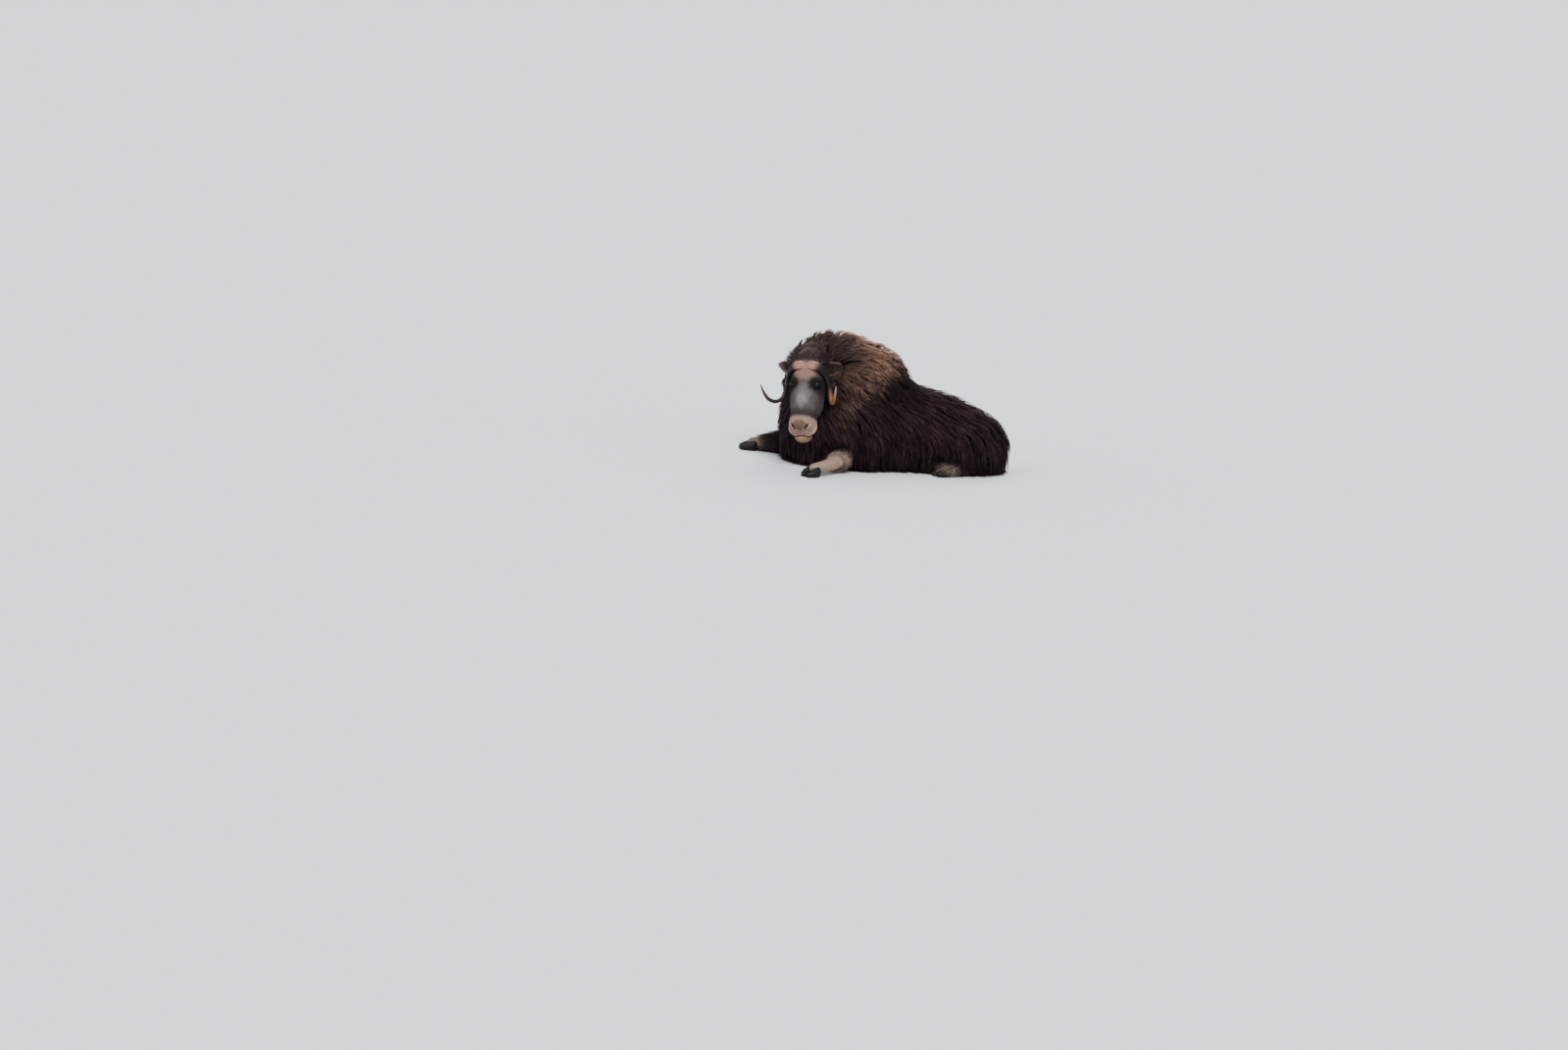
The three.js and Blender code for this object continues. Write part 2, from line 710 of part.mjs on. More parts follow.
// Legs grow out of the dense inner coat, with two claws each
const coreSurface = (p) => headless(p) - CORE_SHARE * coatDepth(p);
const wholeCore = surface(coreSurface, [-1080, -440, -180], [640, 440, 820], CORE_CELL).intersect(floorSide);
const coreRoom = grown(wholeCore);
const legSolids = [];
for (const [name, stations] of Object.entries(LEGS)) {
  const leg = legSolid(stations).intersect(floorSide);
  const claws = { inner: clawSolid(stations, -1), outer: clawSolid(stations, 1) };
  legSolids.push(leg, ...Object.values(claws));
  muskox.add(named(name, leg.subtract(coreRoom), STOCKING));
  for (const [place, claw] of Object.entries(claws)) {
    muskox.add(named(`hoof_${name}_${place}`, claw.subtract(grown(leg)).subtract(coreRoom), HOOF));
  }
}
const tailSolid = sweep(TAIL, vec(0, 1, 0), 6, 8);
muskox.add(named("tail", tailSolid.subtract(coreRoom), DARK_COAT));

// The trunk, parted into neck, torso and hindquarters, each core with the locks that root in it
const roomOf = (side) => [grown(hornSolid(side)), earSolid(side, 2 * GAP)];
const hornAndEarRoom = Object.values(sides).flatMap(roomOf);
const headWithParts = joinedAll([grown(skull), ...hornAndEarRoom]);
const collarEnd = COLLAR_POINT.clone().addScaledVector(COLLAR_NORMAL, GAP);
const headTaken = inBody(headWithParts).add(beyond(collarEnd, COLLAR_NORMAL.clone().negate()));
const legRoom = wasm.Manifold.union([...legSolids, tailSolid].map((solid) => grown(solid)));

const SHOULDER_SEAM = { point: vec(255, 0, 300), normal: vec(0.97, 0.12, 0.2).normalize() };
const LOIN_SEAM = { point: vec(-470, 0, 300), normal: vec(1, 0, 0) };
const infront = ({ point, normal }) => beyond(point.clone().addScaledVector(normal, GAP / 2), normal);
const behind = ({ point, normal }) =>
  beyond(point.clone().addScaledVector(normal, -GAP / 2), normal.clone().negate());

const roundLimb = (stations) => chain(stations.map(([x, y, z, a, b]) => [x, y, z, (a + b) / 2]));
const limbs = Object.values(LEGS).map(roundLimb);
const limbSurface = (p) => Math.min(...limbs.map((limb) => limb(p)));
const headParts = [
  (p) => bareHead(p) - FACE_COAT,
  mirrored(chain(HORN.map(([x, y, z, a, b]) => [x, y, z, (a + b) / 2]))),
  mirrored(chain([[40, 88, -84, 30], [2, 202, -92, 30]])),
];
const headSurface = (p) => Math.min(...headParts.map((form) => form(inHead(p))));

const blocked = (p) => p.z < 7 || past(COLLAR, p) < 3 || headSurface(p) < 10 || limbSurface(p) < 14;
const locks = [];
for (const root of rootsOn(wholeCore)) {
  if (root.z < 50 || past(COLLAR, root) < 6) continue;
  const high = smoothstep(root.z, 380, 560);
  const rise = lerp(34, 75, smoothstep(past(COLLAR, root), 10, 200));
  const path = lockPath(root, lerp(320, 260, high) * between(0.88, 1.12), rise, blocked);
  if (path.length < 4) continue;
  locks.push(lockSolid(path, LOCK_WIDTH * between(0.85, 1.15) * lerp(1, 0.8, high)));
}
const hair = wasm.Manifold.union(locks).intersect(floorSide).subtract(legRoom);
const coated = largest(wholeCore.add(hair).subtract(headTaken));
muskox.add(named("neck", coated.intersect(infront(SHOULDER_SEAM)), MANE));
muskox.add(named("torso", coated.intersect(behind(SHOULDER_SEAM)).intersect(infront(LOIN_SEAM)), DARK_COAT));
muskox.add(named("hindquarters", coated.intersect(behind(LOIN_SEAM)), DARK_COAT));

// The origin goes under the middle of the whole animal, on the floor
const bounds = new THREE.Box3().setFromObject(muskox, true);
muskox.position.set(-(bounds.min.x + bounds.max.x) / 2, -(bounds.min.y + bounds.max.y) / 2, -bounds.min.z);

export default muskox;
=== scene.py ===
"""A muskox cow at rest: skin, coat, eyes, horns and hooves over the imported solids, in a plain pale studio."""

import math
from functools import partial
from types import SimpleNamespace
from typing import NamedTuple

import bpy
import numpy as np
from bpy.props import FloatProperty, FloatVectorProperty, IntProperty, PointerProperty
from mathutils import Matrix, Vector
from mathutils.bvhtree import BVHTree


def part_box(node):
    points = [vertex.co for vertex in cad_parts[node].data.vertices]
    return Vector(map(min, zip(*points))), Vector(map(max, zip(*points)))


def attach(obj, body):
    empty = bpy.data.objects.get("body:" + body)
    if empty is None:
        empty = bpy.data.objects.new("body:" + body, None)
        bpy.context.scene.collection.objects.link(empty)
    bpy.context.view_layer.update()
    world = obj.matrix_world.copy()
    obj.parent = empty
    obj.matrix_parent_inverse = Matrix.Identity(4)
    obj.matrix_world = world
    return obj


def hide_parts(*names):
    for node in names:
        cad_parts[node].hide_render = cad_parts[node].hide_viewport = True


bl_info = {
    "name": "Muskox at Rest",
    "version": (1, 0, 0),
    "blender": (4, 5, 0),
    "location": "View3D > Sidebar > Muskox",
    "description": "Builds a resting muskox cow with a long shaggy coat",
    "category": "Add Mesh",
}

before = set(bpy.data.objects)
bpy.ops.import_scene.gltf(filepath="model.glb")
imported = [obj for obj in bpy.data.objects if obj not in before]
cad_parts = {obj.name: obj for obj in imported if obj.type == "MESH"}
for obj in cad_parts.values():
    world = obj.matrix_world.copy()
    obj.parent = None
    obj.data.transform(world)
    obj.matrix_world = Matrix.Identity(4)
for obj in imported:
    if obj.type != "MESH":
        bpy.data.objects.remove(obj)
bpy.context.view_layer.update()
MM = 0.001

# The forms below are in millimetres, in the animal's own frame: x ahead, y to its left, z up from the floor.
# The head's frame starts at the poll: x down the nose, y to the head's left, z out of the face.
SIDES = {"left": 1, "right": -1}
DOWN = np.array([0.0, 0.0, -1.0])
LEVEL = np.array([1, 1, 0])  # takes the height out of a direction
POLL = np.array([451.0, 150.0, 632.0])
HEAD_TURN = [math.radians(a) for a in (14.3, 59.0, 59.2)]
EYE = np.array([154.0, 69.0, -29.0])
FLESH_NODES = ["head", "neck", "torso", "hindquarters", "tail", "ear_left", "ear_right"]
LEG_NODES = ["foreleg_left", "foreleg_right", "hindleg_left", "hindleg_right"]

# Joints of each leg from inside the body to the hoof: x, y, z, half width, half height
LEGS = {
    "foreleg_left": [
        (60, 170, 140, 70, 66),
        (180, 262, 105, 56, 56),
        (275, 345, 74, 45, 46),
        (350, 405, 58, 35, 39),
        (425, 447, 50, 34, 37),
        (480, 470, 44, 33, 33),
    ],
    "foreleg_right": [
        (60, -160, 130, 70, 66),
        (220, -204, 88, 64, 66),
        (345, -244, 64, 54, 58),
        (425, -272, 52, 40, 46),
        (480, -290, 46, 35, 38),
        (515, -300, 44, 33, 33),
    ],
    "hindleg_left": [
        (-740, 170, 70, 60, 62),
        (-700, 235, 64, 50, 55),
        (-610, 275, 56, 38, 45),
        (-540, 302, 48, 32, 38),
        (-480, 322, 46, 32, 36),
        (-430, 336, 42, 32, 32),
    ],
    "hindleg_right": [
        (-760, -190, 70, 60, 62),
        (-730, -262, 66, 50, 55),
        (-660, -310, 56, 38, 45),
        (-590, -340, 48, 32, 38),
        (-530, -356, 46, 32, 36),
        (-480, -368, 42, 32, 32),
    ],
}

# Stations of the left horn in the head's frame: x, y, z, half width, half height
HORN = [
    (46, 5, 0, 27, 12),
    (46, 34, 4, 30, 16),
    (54, 74, -3, 29, 16),
    (84, 112, -48, 21, 13),
    (142, 129, -99, 16, 13),
    (208, 147, -106, 14, 12),
    (250, 171, -66, 12, 11),
    (258, 198, -12, 11, 10),
    (236, 217, 38, 8, 7),
    (206, 228, 74, 3, 3),
]

# The left nostril before it settles on the muzzle, and the fold of skin below the left eye: x, y, z, radius
NOSTRIL = [(405, 30, -80, 1.5), (399, 36, -72, 4), (392, 42, -66, 5), (386, 46, -64, 2.5)]
EYE_CREASE = [(128, 70, -58, 5), (156, 76, -62, 7), (186, 70, -56, 5)]
LIP_RADIUS = 2.8
LID_DEPTH = 4

EAR_ROOT = np.array([40.0, 88.0, -84.0])
EAR_TIP = np.array([2.0, 202.0, -92.0])
EAR_LENGTH = np.linalg.norm(EAR_TIP - EAR_ROOT)
EAR_HALF_WIDTH = 38

# Over how many millimetres one form runs into the next
TRUNK_BLEND = 80
NECK_BLEND = 70
THROAT_BLEND = 80
SKULL_BLEND = 34
CHIN_BLEND = 16
MUZZLE_BLEND = 14
EAR_BLEND = 16
LEG_BLEND = 30
TAIL_BLEND = 20
HEAD_TO_NECK_BLEND = 50

# The body's skin runs this far ahead of the collar, and isn't cut off below this height
COLLAR_LAP = 12
COLLAR_FOOT = 230

# The lowest that skin, long hair and short hair reach, which keeps them off the floor
SKIN_FLOOR = 3
LONG_HAIR_FLOOR = 2.5
SHORT_HAIR_FLOOR = 2.0

# Boxes that hold the body's skin, the head's in its own frame, and the coarse copy for the unwrap
BODY_BOX = (-930, -420, -20), (640, 540, 700)
HEAD_BOX = (-110, -232, -340), (500, 232, 60)
UNWRAP_BOX = (-930, -470, -20), (720, 500, 800)
UNWRAP_CELL = 26

# What a place on the skin belongs to
TRUNK, HEAD, LEG, EAR, TAIL = range(5)

# Seeds of the random draws, the steps along a lock, and the rings along a strand and a short hair
LONG_COAT_SEED = 4
FACE_HAIR_SEED = 9
LEG_HAIR_SEED = 15
LOCK_STEPS = 12
STRAND_RINGS = 4
SHORT_RINGS = 2

# Long locks: their lengths, how far along they rise through the coat, and the gaps that they keep
SKIRT_LENGTH, MANE_LENGTH = 260, 150
SKIRT_LIFT, MANE_LIFT, HEAD_LIFT = 80, 26, 45
LEG_GAP, EAR_GAP, CLEAR_OF_EARS = 6, 7, 15
ON_FLOOR = 14  # below this a lock runs level

# Short hair: its length by place, and what the wool of the brow, the jaw, the poll and the chin add
NOSE_HAIR, BROW_HAIR, MUZZLE_HAIR, EAR_HAIR = 9.0, 22.0, 4.5, 13
WOOL_MORE, JAW_MORE, POLL_MORE, CHIN_MORE = 16, 34, 58, 4
SHIN_HAIR, FOREARM_HAIR = 20, 90

# About how far apart short hairs stand
FACE_HAIR_GAP = 5.2
LEG_HAIR_GAP = 5.4
PATCH = 0.0028  # length of a tuft's patch on the unwrap

# Stretches of the long coat from the head to the tail, each in a right and a left half, and their slots
LONG_PIECES = [
    ("ruff_and_beard", "mane"),
    ("shoulder_mane", "mane"),
    ("flank_coat", "coat"),
    ("haunch_coat", "coat"),
]

# Lower edge of the tawny hair on the shoulders: places along x, and its height at each
TAWNY_LINE = (
    [-260, -150, -60, 0, 80, 120, 185, 240, 330],
    [640, 590, 548, 520, 460, 440, 370, 355, 380],
)
SKIN_SHADE = 0.8  # the skin is darker than the hair over it

# Colours of the eyeball round the iris, and of the pupil
EYE_RIM = np.array([0.010, 0.006, 0.005])
PUPIL = np.array([0.002, 0.002, 0.003])

# Fineness of horns, eyes and claws, and the height of a claw's heel, toe and sole
HORN_STEPS, HORN_SIDES = 150, 40
EYE_STEPS, EYE_SIDES = 40, 48
CLAW_STEPS, CLAW_SIDES = 24, 28
CLAW_HEEL_TOP, CLAW_TOE_TOP = 62, 26
SOLE_HEIGHT = 0.4

# The photograph: its size in pixels, then its camera's turn from the animal's left side, rise and lean in
# degrees, the metres in a pixel at the animal, and the pixel at which the animal's frame has its origin
PHOTO_WIDTH, PHOTO_HEIGHT = 1600, 1071
PHOTO_TURN, PHOTO_RISE, PHOTO_LEAN = 26, 10, 6.5
PHOTO_SCALE = 0.0057
ORIGIN_PIXEL = (871.4, 471.8)
SENSOR = 36

# The camera's distance, half the floor's side, and its height just below the part, in metres
CAMERA_FAR = 50.0
FLOOR_HALF, FLOOR_HEIGHT = 300.0, -0.0005

# Suns of the studio: name, where it stands, power, angle across in degrees, colour
LIGHTS = [
    ("key", (0.15, 0.75, 0.9), 2.3, 35, (1.0, 0.96, 0.91)),
    ("fill", (0.9, 0.1, 0.5), 0.8, 60, (0.90, 0.94, 1.0)),
    ("rim", (-0.6, -0.7, 0.8), 1.3, 40, (1.0, 0.97, 0.94)),
]

BUILT = {}  # what is made once for all operators: the form, the shift, the skin's surface and its unwrap


# Small helpers on arrays of points, one row a point


def smoothstep(x, low, high):
    """0 up to low, easing up to 1 at high."""
    t = np.clip((x - low) / (high - low), 0, 1)
    return t * t * (3 - 2 * t)


def falling(x, low, high):
    """1 up to low, easing down to 0 at high."""
    return 1 - smoothstep(x, low, high)


def lerp(a, b, t):
    return a + (b - a) * t


def blend(a, b, share):
    """Rows between those of a and b, by one share for each row."""
    return lerp(a, b, share[:, None])


def dots(a, b):
    return (a * b).sum(axis=-1)


def unit(v):
    return v / np.maximum(np.linalg.norm(v, axis=-1, keepdims=True), 1e-9)


def mirrored(p):
    return np.stack([p[:, 0], np.abs(p[:, 1]), p[:, 2]], axis=1)


def ellipsoid(p, centre, radii, tilt=0.0):
    """Distance to an ellipsoid that leans forward or back by the tilt, in degrees."""
    cos, sin = math.cos(math.radians(tilt)), math.sin(math.radians(tilt))
    dx = p[:, 0] - centre[0]
    dz = p[:, 2] - centre[2]
    x = (dx * cos + dz * sin) / radii[0]
    y = (p[:, 1] - centre[1]) / radii[1]
    z = (dz * cos - dx * sin) / radii[2]
    near = np.sqrt(x * x + y * y + z * z)
    slant = np.sqrt((x / radii[0]) ** 2 + (y / radii[1]) ** 2 + (z / radii[2]) ** 2)
    return near * (near - 1) / np.maximum(slant, 1e-6)


def chain(p, stations, with_lie=False):
    """Distance to tapered round lengths through (x, y, z, radius), and the way they run if asked."""
    best = np.full(len(p), 1e6, dtype=p.dtype)
    lie = np.zeros_like(p)
    for a, b in zip(stations[:-1], stations[1:]):
        a = np.asarray(a, dtype=p.dtype)
        b = np.asarray(b, dtype=p.dtype)
        d = b[:3] - a[:3]
        q = p - a[:3]
        t = np.clip(q @ d / (d @ d), 0, 1)
        reach = np.linalg.norm(q - t[:, None] * d, axis=1) - lerp(a[3], b[3], t)
        nearer = reach < best
        best = np.where(nearer, reach, best)
        if with_lie:
            lie[nearer] = d / np.linalg.norm(d)
    return (best, lie) if with_lie else best


def melt(a, b, k):
    """Joins two forms, and rounds the fold between them over about k."""
    h = np.maximum(k - np.abs(a - b), 0) / k
    return np.minimum(a, b) - h * h * k / 4


def carve(a, b, k):
    """Takes form b out of form a, with a rounded rim."""
    return -melt(-a, b, k)


def melted(values, k):
    total = np.full_like(values[0], 1e6)
    for value in values:
        total = melt(total, value, k)
    return total


def slope(distance, p, step=1.0):
    """The way out of a form at each point."""
    out = np.empty_like(p)
    for axis in range(3):
        move = np.zeros(3, dtype=p.dtype)
        move[axis] = step
        out[:, axis] = distance(p + move) - distance(p - move)
    return unit(out)


def settled(distance, points, reach, step, rounds):
    """The points moved onto the surface of a form, by up to the reach in each round."""
    for _ in range(rounds):
        points = points - slope(distance, points, step) * np.clip(distance(points), -reach, reach)[:, None]
    return points


def turned(angles):
    """The rotation matrix of turns about x, then y, then z."""
    x, y, z = (Matrix.Rotation(angle, 3, axis) for angle, axis in zip(angles, "XYZ"))
    return np.array(z @ y @ x)


HEAD_AXES = turned(HEAD_TURN)


def from_head(p):
    return np.asarray(p, dtype=float) @ HEAD_AXES.T + POLL


def to_head(p):
    return (p - POLL.astype(p.dtype)) @ HEAD_AXES.astype(p.dtype)


def to_half_head(p):
    """Points in the head's frame, with its right half laid over its left."""
    return mirrored(to_head(p))


def head_spot(spot):
    return to_head(np.array([spot]))[0]


# The collar is the plane across the neck where the head's skin and hair meet the body's
WITHERS = np.array([185.0, 0.0, 475.0])
NAPE = from_head([28, 0, -95])
THROAT = from_head([110, 0, -150])
COLLAR_NORMAL = (WITHERS - NAPE) / np.linalg.norm(WITHERS - NAPE)
COLLAR_POINT = from_head([62, 0, -72]) + 70 * COLLAR_NORMAL


def from_collar(p):
    """How far each point is behind the collar."""
    return (p - COLLAR_POINT.astype(p.dtype)) @ COLLAR_NORMAL.astype(p.dtype)


def on_right_foreleg(p):
    return (p[:, 1] < 0) & (p[:, 0] > 0)


class Form:
    """The flesh of the animal as distance functions, in millimetres, negative inside."""

    def __init__(self, sizes):
        self.hump_top = sizes.hump_top / MM
        self.croup_top = sizes.croup_top / MM
        self.back = sizes.body_back / MM
        self.chest = sizes.chest_width / MM
        self.belly = sizes.belly_width / MM
        self.body_coat = sizes.body_coat / MM
        self.hump_coat = sizes.hump_coat / MM
        self.face_coat = sizes.face_coat / MM
        self.eye_radius = sizes.eye_radius / MM
        self.nostril = self.on_muzzle(NOSTRIL)
        self.mouth = self.on_muzzle([self.lip_station(i / 8) for i in range(9)])

    def lip_station(self, share):
        """A place on the line between the lips, from the middle of the mouth, at 0, to its corner, at 1."""
        turn = lerp(0, 0.52, share) * math.pi
        return (332 + 104 * math.cos(turn), 84 * math.sin(turn), -122 - 10 * math.sin(turn) ** 2, LIP_RADIUS)

    def on_muzzle(self, stations):
        """The stations moved onto the surface of the muzzle."""

        def muzzle(q):
            return self.winged(self.bare_head(q), q)

        spots = [settled(muzzle, np.array([station[:3]], dtype=float), 12, 1.0, 4)[0] for station in stations]
        return [(*spot, station[3]) for spot, station in zip(spots, stations)]

    def trunk(self, p):
        """Chest, hump, belly, croup, thighs, shoulders and brisket."""
        m = mirrored(p)
        forms = [
            ellipsoid(p, (100, 0, 320), (300, self.chest / 2, 270)),
            ellipsoid(p, (90, 0, self.hump_top - 170), (330, 118, 170), 10),
            ellipsoid(p, (-260, 0, 190), (430, self.belly / 2, 220)),
            ellipsoid(p, (self.back + 275, 0, self.croup_top - 160), (275, 215, 160), 8),
            ellipsoid(m, (-590, 160, 150), (245, 115, 145)),
            ellipsoid(m, (90, 175, 200), (180, 90, 190)),
            ellipsoid(p, (290, 20, 185), (140, 160, 175)),
        ]
        return melted(forms, TRUNK_BLEND)

    def headless(self, p):
        """Trunk and neck, with the neck's round end inside the head."""
        neck = [(*WITHERS, 168), (*lerp(WITHERS, NAPE, 0.6), 160), (*NAPE, 112)]
        throat = [(230, 10, 270, 140), (*THROAT, 75)]
        return melt(melt(self.trunk(p), chain(p, neck), NECK_BLEND), chain(p, throat), THROAT_BLEND)

    def bare_head(self, h):
        """The head in its own frame, without ears, lids or nostrils."""
        m = mirrored(h)
        forms = [
            ellipsoid(h, (84, 0, -84), (96, 90, 78)),  # skull
            ellipsoid(m, (148, 44, -48), (48, 34, 32)),  # rims over the eyes
            ellipsoid(m, (118, 58, -108), (84, 46, 56)),  # temples
            chain(h, [(110, 0, -60, 60), (270, 0, -72, 56), (362, 0, -84, 46)]),  # bridge of the nose
            ellipsoid(m, (215, 48, -118), (120, 46, 76)),  # cheeks
            chain(h, [(150, 0, -168, 54), (398, 0, -146, 34)]),  # lower jaw
            ellipsoid(m, (352, 28, -78), (56, 36, 36)),  # sides of the nose
            ellipsoid(m, (374, 38, -110), (62, 43, 32)),  # upper lip
        ]
        return melt(melted(forms, SKULL_BLEND), ellipsoid(h, (426, 0, -154), (38, 52, 32)), CHIN_BLEND)

    def winged(self, d, m):
        """The muzzle with the raised wings of its nostrils and a full upper lip."""
        d = melt(d, ellipsoid(m, (392, 44, -76), (24, 20, 18)), MUZZLE_BLEND)
        return melt(d, ellipsoid(m, (388, 42, -120), (42, 41, 16)), MUZZLE_BLEND)

    def face(self, h):
        """The head with its lids, nostrils, lips and ears."""
        m = mirrored(h)
        d = self.bare_head(h)
        d = melt(d, np.linalg.norm(m - EYE.astype(h.dtype), axis=1) - (self.eye_radius + LID_DEPTH), 8)
        d = carve(d, self.eye_opening(m), 2.5)
        d = self.winged(d, m)
        d = carve(d, chain(m, self.nostril), 7)
        d = carve(d, chain(m, self.mouth), 4)
        d = melt(d, chain(m, EYE_CREASE), 9)
        return melt(d, self.ear(m), EAR_BLEND)

    def eye_opening(self, m):
        """The almond between the two lids, which runs from the nose's side to the ear's."""
        outward = unit(np.array([0.12, 0.72, 0.68]))
        forward = unit(np.array([1.0, 0, 0]) - outward * outward[0])
        above = np.cross(forward, outward)
        q = m - EYE.astype(m.dtype)
        r = np.maximum(np.linalg.norm(q, axis=1), 1)
        along = q @ forward.astype(m.dtype) / r
        height = q @ above.astype(m.dtype) / r
        gape = np.where(height > 0, 0.40, 0.36) * (1 - (along / 0.8) ** 2)
        return np.maximum((np.abs(height) - gape) * r, -(q @ outward.astype(m.dtype)))

    def ear_places(self, m):
        """Points along the ear, across it and off its face, their share of its length, and its width."""
        along = unit(EAR_TIP - EAR_ROOT)
        facing = np.array([0.45, 0.1, 0.9])
        facing = unit(facing - along * (facing @ along))
        q = m - EAR_ROOT.astype(m.dtype)
        a, b, c = (q @ axis.astype(m.dtype) for axis in (along, np.cross(along, facing), facing))
        t = np.clip(a / EAR_LENGTH, -0.2, 1.0)
        width = EAR_HALF_WIDTH * np.sin(np.pi * np.clip(0.28 + 0.72 * t, 0.02, 0.97)) ** 0.7
        return a, b, c, t, width

    def ear_width(self, m):
        """0 along the middle of the ear, 1 at its rims."""
        _, b, _, _, width = self.ear_places(m)
        return np.abs(b) / np.maximum(width, 4)

    def ear(self, m):
        """A cupped leaf on the mirrored head, thick at its root and thin at its rim."""
        a, b, c, t, width = self.ear_places(m)
        v = b / np.maximum(width, 4)
        bend = 22 * (1 - 0.75 * t) * (v * v - 0.5)
        thick = lerp(11, 5, np.clip(t, 0, 1)) * (1 - 0.5 * np.clip(v * v, 0, 1))
        flat = np.abs(c - bend + thick / 2) - thick / 2
        rim = np.abs(b) - width
        end = a - (EAR_LENGTH - 3)
        start = -a - 10
        return np.maximum(np.maximum(flat * 0.75, rim), np.maximum(end, start))

    def ears(self, p):
        """Distance to the nearer ear, for points in the animal's frame."""
        return self.ear(to_half_head(p))

    def legs(self, p, with_lie=False):
        found = [
            chain(p, [(x, y, z, (a + b) / 2 - 4) for x, y, z, a, b in stations], with_lie)
            for stations in LEGS.values()
        ]
        if not with_lie:
            return np.minimum.reduce(found)
        reaches = np.stack([reach for reach, _ in found])
        best = reaches.argmin(axis=0)
        rows = np.arange(len(p))
        return reaches[best, rows], np.stack([lie for _, lie in found])[best, rows]

    def near_body(self, p):
        """1 where a leg leaves the body, falling to 0 along its bare length."""
        return falling(self.headless(p), 85, 150)

    def tail(self, p):
        tail = [(self.back + 20, 0, 255, 26), (self.back - 30, 0, 228, 22), (self.back - 52, 0, 180, 12)]
        return chain(p, tail)

    def body(self, p):
        """Everything but the head, cut off at the floor."""
        d = melt(self.headless(p), self.legs(p), LEG_BLEND)
        d = melt(d, self.tail(p), TAIL_BLEND)
        return np.maximum(d, SKIN_FLOOR - p[:, 2])

    def body_to_collar(self, p):
        """The body without the end of the neck, which the head's finer skin takes over."""
        ahead_of_collar = -from_collar(p) - COLLAR_LAP
        return np.maximum(self.body(p), np.minimum(ahead_of_collar, p[:, 2] - COLLAR_FOOT))

    def head_to_collar(self, h):
        """The head in its own frame, with its share of neck and throat."""
        neck = [(40, 0, -95, 98), (*head_spot(NAPE + 150 * COLLAR_NORMAL), 108)]
        throat = [(110, 0, -150, 72), (*head_spot(THROAT + 120 * COLLAR_NORMAL), 85)]
        whole = melt(self.face(h), np.minimum(chain(h, neck), chain(h, throat)), HEAD_TO_NECK_BLEND)
        normal = (COLLAR_NORMAL @ HEAD_AXES).astype(h.dtype)
        return np.maximum(whole, (h - head_spot(COLLAR_POINT).astype(h.dtype)) @ normal)

    def behind_poll(self, p):
        """Trunk and neck, without the neck's round end inside the head."""
        return np.maximum(self.headless(p), -from_collar(p) - 45)

    def flesh(self, p):
        """Trunk, neck and head as one, which the long coat stands on."""
        return np.minimum(self.behind_poll(p), self.bare_head(to_head(p)) - self.face_coat)

    def coat_depth(self, p):
        """Depth of the long coat: deepest in the mane, thin towards the face and round the ears."""
        mane = smoothstep(p[:, 2], 360, 560) * smoothstep(p[:, 0], -260, -180)
        collar = from_collar(p)
        near_head = lerp(0.22, 1.0, smoothstep(collar, -70, 60))
        near_ear = falling(self.ears(p), 8, 55)
        near_ear = near_ear * falling(collar, 15, 70)
        return lerp(self.body_coat, self.hump_coat, mane) * near_head * (1 - 0.8 * near_ear)


def form_of(context):
    if "form" not in BUILT:
        BUILT["form"] = Form(context.scene.muskox_sizes)
    return BUILT["form"]


def tones_of(context):
    """The colours of the panel as arrays."""
    group = context.scene.muskox_colours
    return SimpleNamespace(**{key: np.array(getattr(group, key)) for key in group.__annotations__})


def shift():
    """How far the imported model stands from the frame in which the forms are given, in metres."""
    if "shift" not in BUILT:
        low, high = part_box("eye_left")
        BUILT["shift"] = np.array((low + high) / 2) - from_head(EYE) * MM
    return BUILT["shift"]


# Meshes


